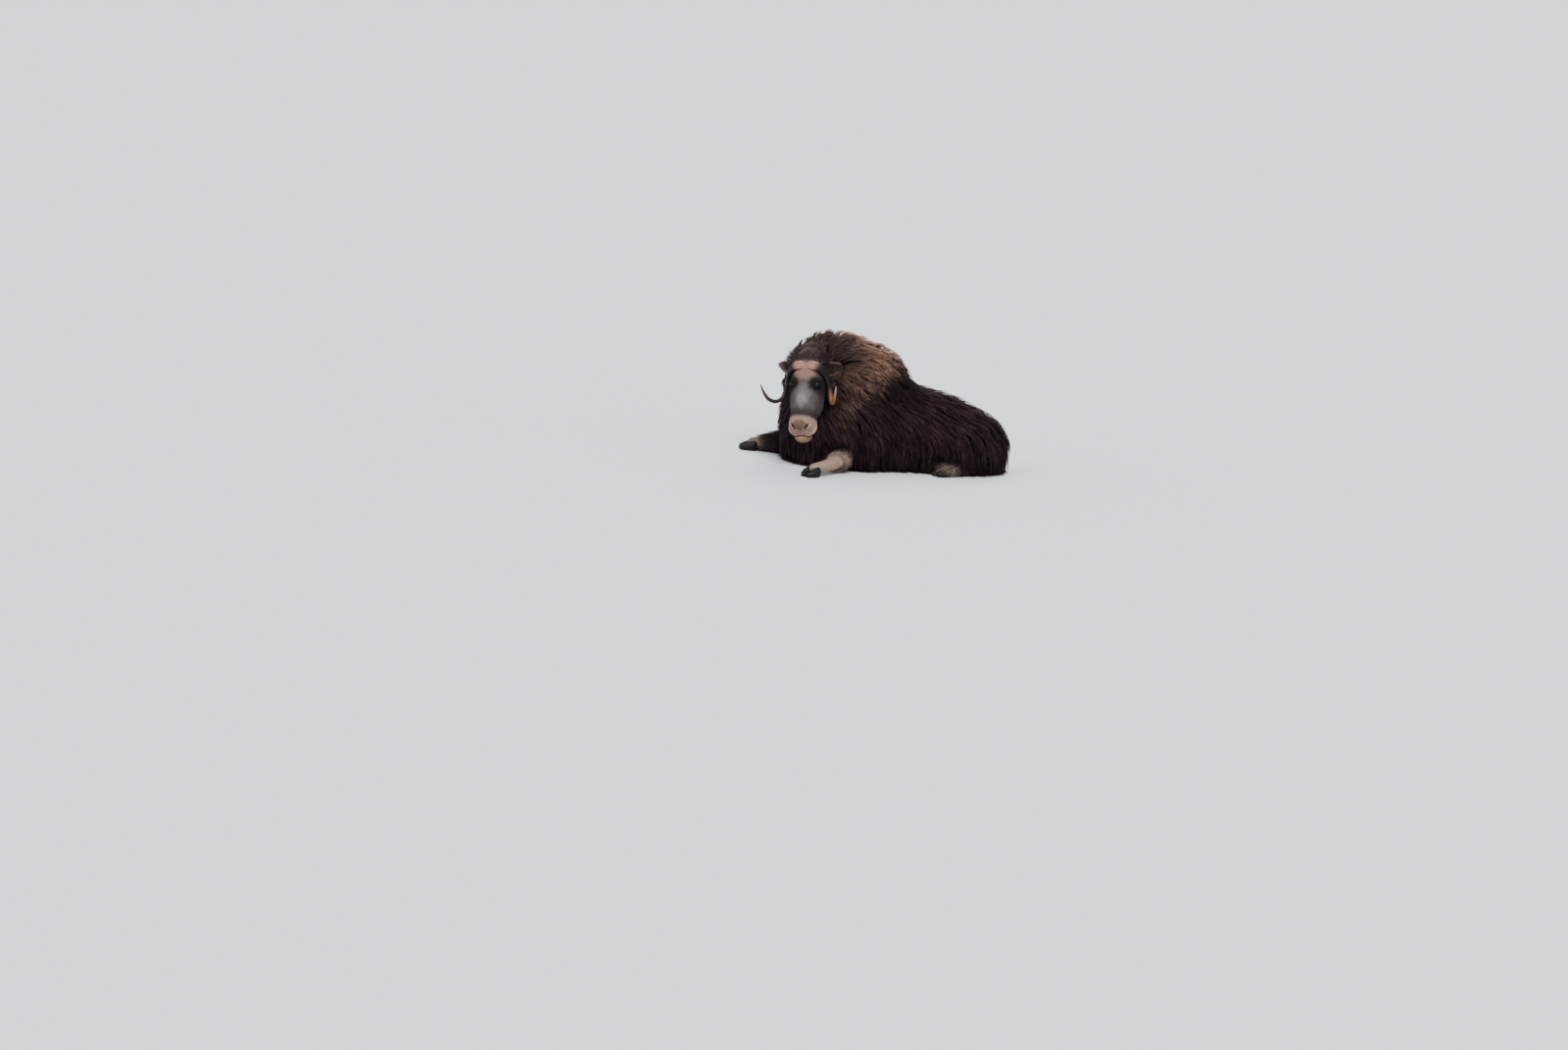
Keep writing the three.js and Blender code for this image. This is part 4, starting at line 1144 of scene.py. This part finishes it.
class MuskoxColours(bpy.types.PropertyGroup):
    coat_dark: colour_property("Coat", "Long hair of the body", (0.0185, 0.0080, 0.0140))
    coat_red: colour_property("Coat tips", "Reddish tips of the body's hair", (0.085, 0.037, 0.044))
    coat_streak: colour_property("Skirt streaks", "Lighter hairs in the skirt", (0.120, 0.062, 0.046))
    neck_brown: colour_property("Neck", "Hair behind the head", (0.046, 0.0225, 0.0205))
    poll_brown: colour_property("Poll", "Hair between the boss and the mane", (0.046, 0.025, 0.023))
    mane_deep: colour_property("Mane roots", "Mane at its roots", (0.090, 0.046, 0.033))
    mane_tawny: colour_property("Mane", "Tawny tips of the mane", (0.415, 0.258, 0.196))
    face_grey: colour_property("Face", "Short hair between the eyes", (0.125, 0.104, 0.104))
    face_dark: colour_property("Cheeks", "Hair of the cheeks and above the muzzle", (0.024, 0.016, 0.018))
    eye_patch: colour_property("Eye patches", "Short hair round the eyes", (0.010, 0.007, 0.008))
    bridge_pale: colour_property("Bridge", "Greyish hair along the nose", (0.330, 0.300, 0.305))
    brow_tan: colour_property("Brow", "Hair between the boss and the eyes", (0.360, 0.225, 0.168))
    boss_cream: colour_property("Boss", "Woolly hair between the horns", (0.400, 0.265, 0.208))
    muzzle_beige: colour_property("Muzzle", "Hair of the muzzle", (0.385, 0.252, 0.200))
    nose_pad: colour_property("Nose", "Bare skin between the nostrils", (0.165, 0.112, 0.082))
    nostril_dark: colour_property("Nostrils", "Inside of the nostrils", (0.026, 0.016, 0.013))
    mouth_line: colour_property("Mouth", "Line between the lips", (0.110, 0.045, 0.022))
    lip_white: colour_property("Lips", "Pale hair of the upper lip", (0.600, 0.440, 0.380))
    chin_tan: colour_property("Chin", "Hair of the lower lip", (0.330, 0.195, 0.110))
    ear_dark: colour_property("Ears", "Hair of the ears", (0.040, 0.026, 0.022))
    ear_rim: colour_property("Ear rims", "Paler hair at the rims", (0.230, 0.160, 0.126))
    stocking: colour_property("Stockings", "Short hair of the lower legs", (0.600, 0.470, 0.390))
    stocking_dark: colour_property("Stocking shade", "Darker hairs in the stockings", (0.330, 0.235, 0.180))
    horn_base: colour_property("Horn base", "Rough base of the horn", (0.310, 0.190, 0.142))
    horn_shaft: colour_property("Horn shaft", "Middle of the horn", (0.016, 0.011, 0.010))
    # The left hook and tip are painted sunlit over the horn's own brown, the tip with a painted highlight; the
    # right hook and tip are painted shade.
    horn_hook_sunlit: colour_property("Left hook", "Outer curve of the left horn", (0.250, 0.125, 0.062))
    horn_hook_shaded: colour_property("Right hook", "Outer curve of the right horn", (0.062, 0.045, 0.042))
    horn_tip_highlight: colour_property("Left tip", "Tip of the left horn", (0.330, 0.240, 0.185))
    horn_tip_shaded: colour_property("Right tip", "Tip of the right horn", (0.125, 0.096, 0.088))
    iris: colour_property("Iris", "Iris of the eye", (0.018, 0.009, 0.006))


class MUSKOX_OT_skin(bpy.types.Operator):
    """Builds the one skin under the coat, and unwraps a coarse copy of it for the tufts"""

    bl_idname = "muskox.skin"
    bl_label = "Skin"

    def execute(self, context):
        form = form_of(context)
        sizes = context.scene.muskox_sizes
        body, body_faces = surface(form.body_to_collar, BODY_BOX, sizes.body_cell / MM)
        head, head_faces = surface(form.head_to_collar, HEAD_BOX, sizes.head_cell / MM)
        head = from_head(settled(form.head_to_collar, head, 1.0, 0.5, 2))
        points = np.concatenate([body, head])
        faces = np.concatenate([body_faces, head_faces + len(body)])
        BUILT["surface"] = (points, faces)
        skin = mesh_object("skin", points, faces)
        paint(skin, skin_colour(tones_of(context), form, points))
        place_piece(skin, skin_material(), "coat", *FLESH_NODES, *LEG_NODES)
        BUILT["unwrap"] = self.unwrapped(form, context)
        return {"FINISHED"}

    def unwrapped(self, form, context):
        """Unwraps a coarse skin: its search tree, its triangles' corners, and their places on the unwrap."""

        def whole(p):
            return np.minimum(form.body(p), form.bare_head(to_head(p)))

        copy = mesh_object("unwrap_copy", *surface(whole, UNWRAP_BOX, UNWRAP_CELL))
        context.view_layer.objects.active = copy
        copy.select_set(True)
        bpy.ops.object.mode_set(mode="EDIT")
        bpy.ops.mesh.select_all(action="SELECT")
        bpy.ops.uv.smart_project(angle_limit=math.radians(66), island_margin=0.004)
        bpy.ops.object.mode_set(mode="OBJECT")
        mesh = copy.data
        mesh.calc_loop_triangles()
        points = np.empty(len(mesh.vertices) * 3)
        mesh.vertices.foreach_get("co", points)
        uv = np.empty(len(mesh.loops) * 2)
        mesh.uv_layers.active.data.foreach_get("uv", uv)
        corner = np.empty(len(mesh.loop_triangles) * 3, dtype=np.int32)
        loop = np.empty_like(corner)
        mesh.loop_triangles.foreach_get("vertices", corner)
        mesh.loop_triangles.foreach_get("loops", loop)
        points = points.reshape(-1, 3)
        tree = BVHTree.FromPolygons(points.tolist(), corner.reshape(-1, 3).tolist(), all_triangles=True)
        bpy.data.objects.remove(copy)
        bpy.data.meshes.remove(mesh)
        return tree, points[corner].reshape(-1, 3, 3), uv.reshape(-1, 2)[loop].reshape(-1, 3, 2)


class MUSKOX_OT_long_coat(bpy.types.Operator):
    """Grows the long locks of mane, ruff, flanks, skirt and rump"""

    bl_idname = "muskox.long_coat"
    bl_label = "Long coat"

    def execute(self, context):
        form = form_of(context)
        sizes = context.scene.muskox_sizes
        gap = sizes.lock_gap / MM
        rng = np.random.default_rng(LONG_COAT_SEED)

        def keep(p):
            zone = zones(form, p)
            return ((zone == TRUNK) | ((zone == HEAD) & long_on_head(p))) & (p[:, 2] > 16)

        roots = roots_on(rng, keep, gap)
        high = smoothstep(roots[:, 2], 360, 520) * smoothstep(roots[:, 0], -300, -180)
        on_head = falling(from_collar(roots), -60, 40)
        lengths = lerp(SKIRT_LENGTH, MANE_LENGTH, high) * lerp(1, 0.62, on_head)
        lengths = lengths * rng.uniform(0.75, 1.15, len(roots))
        lift = lerp(lerp(SKIRT_LIFT, MANE_LIFT, high), HEAD_LIFT, on_head)
        path, outs = long_paths(form, rng, roots, lengths, lift)
        kept = lies_well(form, path)
        path, outs, high = path[kept], outs[kept], high[kept]
        spread, gather, frizz = gap * lerp(0.8, 1.0, high), lerp(0.42, 0.8, high), lerp(3.0, 6.0, high)
        centre, side, rise = strands(rng, path, outs, sizes.strands, spread, gather, frizz)
        width = sizes.hair_width / MM * rng.uniform(0.6, 1.25, len(centre))
        roots = centre[:, 0]
        tufts = Tufts(centre, side, rise, width, roots, centre[:, 3])
        place = np.select([from_collar(roots) < 150, roots[:, 0] > 20, roots[:, 0] > -330], [0, 1, 2], 3)
        left = roots[:, 1] > 0
        colour = partial(coat_colour, tones_of(context))
        material = hair_material("long_coat", 0.5, 0.05, 34.0)
        for number, (name, slot) in enumerate(LONG_PIECES):
            for end, half in (("right", ~left), ("left", left)):
                chosen = tufts.chosen((place == number) & half)
                coat_piece(f"{name}_{end}", material, slot, colour, rng, chosen)
        return {"FINISHED"}


class MUSKOX_OT_face_hair(bpy.types.Operator):
    """Lays the short hair of face, ears and poll"""

    bl_idname = "muskox.face_hair"
    bl_label = "Face hair"

    def execute(self, context):
        form = form_of(context)
        tones = tones_of(context)
        rng = np.random.default_rng(FACE_HAIR_SEED)

        def keep(p):
            zone = zones(form, p)
            h = to_head(p)
            m = mirrored(h)
            poll = (h[:, 0] < 24) & (h[:, 2] > -110)
            by_ear = np.isin(zone, (TRUNK, HEAD)) & (form.ear(m) < 70)
            short = (zone == EAR) | ((zone == HEAD) & (poll | ~long_on_head(p))) | by_ear
            bare = (form.eye_opening(m) <= 4) | (chain(m, form.mouth) <= 3.5) | (chain(m, form.nostril) <= 5)
            return short & ~bare & (from_collar(p) < 30)

        def face(p):
            return form.face(to_head(p))

        def colour(marks, along, each):
            return face_colour(tones, form, marks, each) * lerp(0.8, 1.1, along)[:, None]

        roots = roots_on(rng, keep, FACE_HAIR_GAP)
        h = to_head(roots)
        x, y, z = h.T
        ear = smoothstep(np.abs(y), 98, 116) * falling(x, 60, 90)
        chin = smoothstep(-z, 132, 150) * smoothstep(x, 300, 360)
        wool = falling(x, 90, 130) * (1 - ear) * smoothstep(z, -95, -50)
        jaw = smoothstep(-z, 120, 165) * falling(x, 260, 330)
        muzzle = smoothstep(x, 330, 360)
        poll = falling(x, -5, 26)
        length = lerp(NOSE_HAIR, BROW_HAIR, falling(x, 150, 330)) * rng.uniform(0.7, 1.2, len(x))
        length = length + WOOL_MORE * wool + JAW_MORE * jaw + POLL_MORE * poll
        length = lerp(length, MUZZLE_HAIR + CHIN_MORE * chin, muzzle)
        length = lerp(length, EAR_HAIR * rng.uniform(0.6, 1.3, len(x)), ear)
        lift = lerp(1.2 + 0.09 * length + 4 * wool + 18 * poll * (1 - ear), 0.9, muzzle)
        width = lerp(lerp(1.9, 2.6, wool), 1.5, muzzle) * rng.uniform(0.8, 1.2, len(x))
        out = slope(face, roots, 1.5)
        centre, side, rise = short_hairs(rng, roots, face_lie(h, ear, chin), out, length, lift)
        tufts = Tufts(centre, side, rise, width, roots, roots)
        material = hair_material("short_hair", 0.7, 0.1, 120.0)
        for name, half in (("face_hair_left", y > 0), ("face_hair_right", y <= 0)):
            coat_piece(name, material, "face_hair", colour, rng, tufts.chosen(half))
        return {"FINISHED"}


class MUSKOX_OT_leg_hair(bpy.types.Operator):
    """Lays the short hair of the legs, longer where they leave the body and down the right forearm"""

    bl_idname = "muskox.leg_hair"
    bl_label = "Leg hair"

    def execute(self, context):
        form = form_of(context)
        tones = tones_of(context)
        rng = np.random.default_rng(LEG_HAIR_SEED)

        def keep(p):
            return (zones(form, p) == LEG) & (p[:, 2] > 5)

        def colour(marks, _, each):
            return leg_colour(tones, form, marks, each)

        roots = roots_on(rng, keep, LEG_HAIR_GAP)
        _, lie = form.legs(roots, with_lie=True)
        forearm = np.where(on_right_foreleg(roots), falling(roots[:, 0], 400, 490), 0)
        shaggy = np.maximum(form.near_body(roots), forearm)
        length = lerp(SHIN_HAIR, FOREARM_HAIR, shaggy) * rng.uniform(0.7, 1.25, len(roots))
        lift = 1.0 + lerp(0.13, 0.22, shaggy) * length
        width = lerp(2.0, 2.8, shaggy) * rng.uniform(0.8, 1.2, len(roots))
        out = slope(form.legs, roots, 1.5)
        centre, side, rise = short_hairs(rng, roots, lie + 0.5 * DOWN, out, length, lift)
        tufts = Tufts(centre, side, rise, width, roots, centre[:, 1])
        material = hair_material("stocking_hair", 0.72, 0.12, 90.0)
        coat_piece("leg_hair", material, "stocking", colour, rng, tufts)
        return {"FINISHED"}


def smooth_path(stations, count):
    """Points, tangents and sizes along a centripetal curve through the stations."""
    s = np.array(stations, dtype=float)
    p = s[:, :3]
    p = np.concatenate([[2 * p[0] - p[1]], p, [2 * p[-1] - p[-2]]])
    gaps = np.maximum(np.linalg.norm(np.diff(p, axis=0), axis=1) ** 0.5, 1e-4)
    out = []
    for i in range(count + 1):
        at = i / count * (len(s) - 1)
        k = min(int(at), len(s) - 2)
        w = at - k
        p0, p1, p2, p3 = p[k : k + 4]
        d0, d1, d2 = gaps[k : k + 3]
        t1 = ((p1 - p0) / d0 - (p2 - p0) / (d0 + d1) + (p2 - p1) / d1) * d1
        t2 = ((p2 - p1) / d1 - (p3 - p1) / (d1 + d2) + (p3 - p2) / d2) * d1
        h = [2 * w**3 - 3 * w**2 + 1, w**3 - 2 * w**2 + w, -2 * w**3 + 3 * w**2, w**3 - w**2]
        g = [6 * w**2 - 6 * w, 3 * w**2 - 4 * w + 1, -6 * w**2 + 6 * w, 3 * w**2 - 2 * w]
        spot = h[0] * p1 + h[1] * t1 + h[2] * p2 + h[3] * t2
        tangent = g[0] * p1 + g[1] * t1 + g[2] * p2 + g[3] * t2
        out.append((spot, unit(tangent), lerp(s[k, 3:], s[k + 1, 3:], w)))
    return out


def circle(count, start=0.0):
    """The angles of so many points round a ring, from the start's share of a gap."""
    return (np.arange(count) + start) / count * 2 * np.pi


def tube(rings):
    """Points, quads and end triangles of a closed tube through rings of as many points each."""
    n = len(rings[0])
    points = np.concatenate([*rings, [rings[0].mean(axis=0)], [rings[-1].mean(axis=0)]])
    j = np.arange(n)
    k = (j + 1) % n
    last = (len(rings) - 1) * n
    quads = [np.stack([a + j, a + k, a + n + k, a + n + j], axis=1) for a in range(0, last, n)]
    first = np.stack([np.full(n, len(rings) * n), k, j], axis=1)
    end = np.stack([np.full(n, len(rings) * n + 1), last + j, last + k], axis=1)
    return points, np.concatenate(quads), np.concatenate([first, end])


def head_piece(name, rings, tints, material, slot, node):
    """A closed piece through rings of points in the head's frame, with a colour for each point."""
    points, quads, triangles = tube(rings)
    piece = mesh_object(name, from_head(points), quads, triangles)
    paint(piece, np.concatenate([*tints, tints[0][:1], tints[-1][:1]]))
    place_piece(piece, material, slot, node)


class MUSKOX_OT_horns(bpy.types.Operator):
    """Shapes the two horns, with rough bases and smooth hooked tips"""

    bl_idname = "muskox.horns"
    bl_label = "Horns"

    def execute(self, context):
        tones = tones_of(context)
        material = horn_material()
        lit_and_shaded_hooks = {"left": tones.horn_hook_sunlit, "right": tones.horn_hook_shaded}
        tips = {"left": tones.horn_tip_highlight, "right": tones.horn_tip_shaded}
        turn = circle(HORN_SIDES)
        cos, sin = np.cos(turn)[:, None], np.sin(turn)[:, None]
        for name, side in SIDES.items():
            rings = []
            tints = []
            path = smooth_path([(x, y * side, z, a, b) for x, y, z, a, b in HORN], HORN_STEPS)
            width = np.cross([-0.35, 0.2 * side, 1], path[0][1])
            for i, (spot, along, (a, b)) in enumerate(path):
                t = i / HORN_STEPS
                width = unit(width - along * (width @ along))
                height = np.cross(along, width)
                rough = 0.035 * falling(t, 0.3, 0.6)
                ridge = 1 + rough * np.sin(turn * 9 + 6 * t) * np.sin(t * 70 + 2 * np.sin(turn * 2))
                groove = 1 + 0.012 * falling(t, 0.75, 0.95) * np.sin(t * 190)
                rings.append(spot + (width * a * cos + height * b * sin) * (ridge * groove)[:, None])
                shade = lerp(tones.horn_base, tones.horn_shaft, smoothstep(t, 0.15, 0.24))
                # Past the shaft the left horn takes painted sunlight and a painted highlight at its tip, and
                # the right horn painted shade.
                shade = lerp(shade, lit_and_shaded_hooks[name], smoothstep(t, 0.42, 0.60))
                shade = lerp(shade, tips[name], 0.8 * smoothstep(t, 0.82, 0.97))
                tints.append(np.tile(shade, (HORN_SIDES, 1)))
            head_piece(f"horn_{name}_sheath", rings, tints, material, "horn", f"horn_{name}")
        return {"FINISHED"}


class MUSKOX_OT_eyes(bpy.types.Operator):
    """Sets the eyeballs, with a dark iris and a long level pupil"""

    bl_idname = "muskox.eyes"
    bl_label = "Eyes"

    def execute(self, context):
        form = form_of(context)
        iris = tones_of(context).iris
        material = eye_material()
        turn = circle(EYE_SIDES)
        cos, sin = np.cos(turn), np.sin(turn)
        for name, side in SIDES.items():
            outward = unit(np.array([0.22, 0.78 * side, 0.58]))
            level = unit(np.array([1.0, 0, 0]) - outward * outward[0])
            above = np.cross(outward, level)
            rings = []
            tints = []
            for i in range(1, EYE_STEPS):
                polar = i / EYE_STEPS * math.pi
                cornea = 1 + 0.03 * max(0.0, 1 - (polar / 0.75) ** 2)
                radius = form.eye_radius * cornea
                across = math.sin(polar) * radius
                ring = outward * math.cos(polar) * radius
                ring = ring + across * (cos[:, None] * level + sin[:, None] * above)
                rings.append(ring + EYE * [1, side, 1])
                front = 1.0 if polar < math.pi / 2 else 0.0
                from_pupil = np.hypot(across * cos / 7.5, across * sin / 3.6)
                shade = lerp(EYE_RIM, iris, falling(across, 12.5, 14.5) * front)
                tints.append(blend(shade, PUPIL, falling(from_pupil, 0.85, 1.1) * front))
            head_piece(f"eyeball_{name}", rings, tints, material, "eye", f"eye_{name}")
        return {"FINISHED"}


class MUSKOX_OT_hooves(bpy.types.Operator):
    """Shapes the eight claws"""

    bl_idname = "muskox.hooves"
    bl_label = "Hooves"

    def execute(self, context):
        sizes = context.scene.muskox_sizes
        material = hoof_material()
        length, wide = sizes.hoof_length / MM, sizes.hoof_width / MM
        turn = circle(CLAW_SIDES, 0.5)
        rise = np.sin(turn)
        for leg, stations in LEGS.items():
            before, end = (np.array(station[:3]) for station in stations[-2:])
            ahead = unit((end - before) * LEVEL)
            across = np.array([-ahead[1], ahead[0], 0])
            for place, side in (("inner", -1), ("outer", 1)):
                rings = []
                for i in range(CLAW_STEPS + 1):
                    t = i / CLAW_STEPS
                    heel = math.sqrt(1 - 0.72 * max(0.0, 1 - t / 0.26) ** 2.5)
                    growth = math.sin(t * 46)
                    half = wide / 2 * heel * math.sqrt(1 - 0.72 * t**4) * (1 + 0.008 * growth)
                    top = lerp(CLAW_HEEL_TOP, CLAW_TOE_TOP, t**1.6) * (0.4 + 0.6 * heel)
                    top = top * (1 + 0.010 * growth)
                    middle = np.array([end[0], end[1], top / 2]) + ahead * (t * length - 20)
                    middle = middle + across * side * (half + 2 + 4 * t)
                    ring = middle + across * (half * np.cos(turn))[:, None]
                    sole = lerp(middle[2], SOLE_HEIGHT, np.minimum(-rise * 1.2, 1))
                    ring[:, 2] = np.where(rise < 0, sole, middle[2] + top / 2 * rise)
                    rings.append(ring)
                piece = mesh_object(f"claw_{leg}_{place}", *tube(rings))
                place_piece(piece, material, "hoof", f"hoof_{leg}_{place}")
        return {"FINISHED"}


class MUSKOX_OT_stage(bpy.types.Operator):
    """Lays the floor and sets the lights and the camera"""

    bl_idname = "muskox.stage"
    bl_label = "Studio"

    def execute(self, context):
        self.lay_floor(context.scene)
        self.set_lights(context.scene)
        self.set_camera(context.scene)
        context.scene.view_settings.view_transform = "AgX"
        context.scene.view_settings.look = "AgX - Medium High Contrast"
        context.scene.view_settings.exposure = 0.35
        return {"FINISHED"}

    def lay_floor(self, scene):
        mesh = bpy.data.meshes.new("studio_floor")
        square = [(-1, -1), (1, -1), (1, 1), (-1, 1)]
        corners = [(x * FLOOR_HALF, y * FLOOR_HALF, FLOOR_HEIGHT) for x, y in square]
        mesh.from_pydata(corners, [], [(0, 1, 2, 3)])
        floor = bpy.data.objects.new("studio_floor", mesh)
        scene.collection.objects.link(floor)
        paper = Nodes("studio_paper")
        paper.set(Base_Color=(0.62, 0.63, 0.64, 1), Roughness=0.9, Specular_IOR_Level=0.1)
        mesh.materials.append(paper.material)

    def set_lights(self, scene):
        world = bpy.data.worlds.new("studio")
        scene.world = world
        world.use_nodes = True
        background = world.node_tree.nodes["Background"]
        background.inputs["Color"].default_value = (0.80, 0.86, 0.95, 1)
        background.inputs["Strength"].default_value = 0.55
        for name, toward, power, spread, tint in LIGHTS:
            data = bpy.data.lights.new(name, "SUN")
            data.angle = math.radians(spread)
            data.energy = power
            data.color = tint
            lamp = bpy.data.objects.new(name, data)
            lamp.rotation_mode = "QUATERNION"
            lamp.rotation_quaternion = Vector(toward).to_track_quat("Z", "Y")
            scene.collection.objects.link(lamp)

    def set_camera(self, scene):
        """The photograph's view: from the animal's left front, a little from above, and leaning."""
        turn, rise, lean = (math.radians(angle) for angle in (PHOTO_TURN, PHOTO_RISE, PHOTO_LEAN))
        back = Vector((math.sin(turn) * math.cos(rise), math.cos(turn) * math.cos(rise), math.sin(rise)))
        right = Vector((-math.cos(turn), math.sin(turn), 0))
        up = back.cross(right)
        dx, dy = PHOTO_WIDTH / 2 - ORIGIN_PIXEL[0], PHOTO_HEIGHT / 2 - ORIGIN_PIXEL[1]
        u = dx * math.cos(lean) + dy * math.sin(lean)
        v = -dx * math.sin(lean) + dy * math.cos(lean)
        target = Vector(shift()) + right * u * PHOTO_SCALE - up * v * PHOTO_SCALE
        data = bpy.data.cameras.new("camera")
        data.sensor_width = SENSOR
        data.lens = SENSOR * CAMERA_FAR / (PHOTO_WIDTH * PHOTO_SCALE)
        data.clip_start = 1.0
        data.clip_end = 900.0
        camera = bpy.data.objects.new("camera", data)
        camera.location = target + back * CAMERA_FAR
        x_axis = right * math.cos(lean) + up * math.sin(lean)
        y_axis = up * math.cos(lean) - right * math.sin(lean)
        camera.rotation_mode = "QUATERNION"
        camera.rotation_quaternion = Matrix((x_axis, y_axis, back)).transposed().to_quaternion()
        scene.collection.objects.link(camera)
        scene.camera = camera


class MUSKOX_PT_panel(bpy.types.Panel):
    bl_label = "Muskox"
    bl_idname = "MUSKOX_PT_panel"
    bl_space_type = "VIEW_3D"
    bl_region_type = "UI"
    bl_category = "Muskox"

    def draw(self, context):
        for group in (context.scene.muskox_sizes, context.scene.muskox_colours):
            for key in group.__annotations__:
                self.layout.prop(group, key)
        for operator in OPERATORS:
            self.layout.operator(operator.bl_idname)


OPERATORS = [
    MUSKOX_OT_stage,
    MUSKOX_OT_skin,
    MUSKOX_OT_long_coat,
    MUSKOX_OT_face_hair,
    MUSKOX_OT_leg_hair,
    MUSKOX_OT_horns,
    MUSKOX_OT_eyes,
    MUSKOX_OT_hooves,
]
CLASSES = [MuskoxSizes, MuskoxColours, *OPERATORS, MUSKOX_PT_panel]


def register():
    for item in CLASSES:
        bpy.utils.register_class(item)
    bpy.types.Scene.muskox_sizes = PointerProperty(type=MuskoxSizes)
    bpy.types.Scene.muskox_colours = PointerProperty(type=MuskoxColours)


def unregister():
    del bpy.types.Scene.muskox_colours
    del bpy.types.Scene.muskox_sizes
    for item in reversed(CLASSES):
        bpy.utils.unregister_class(item)


def main():
    register()
    bpy.ops.muskox.stage()
    bpy.ops.muskox.skin()
    bpy.ops.muskox.long_coat()
    bpy.ops.muskox.face_hair()
    bpy.ops.muskox.leg_hair()
    bpy.ops.muskox.horns()
    bpy.ops.muskox.eyes()
    bpy.ops.muskox.hooves()


if __name__ == "__main__":
    main()
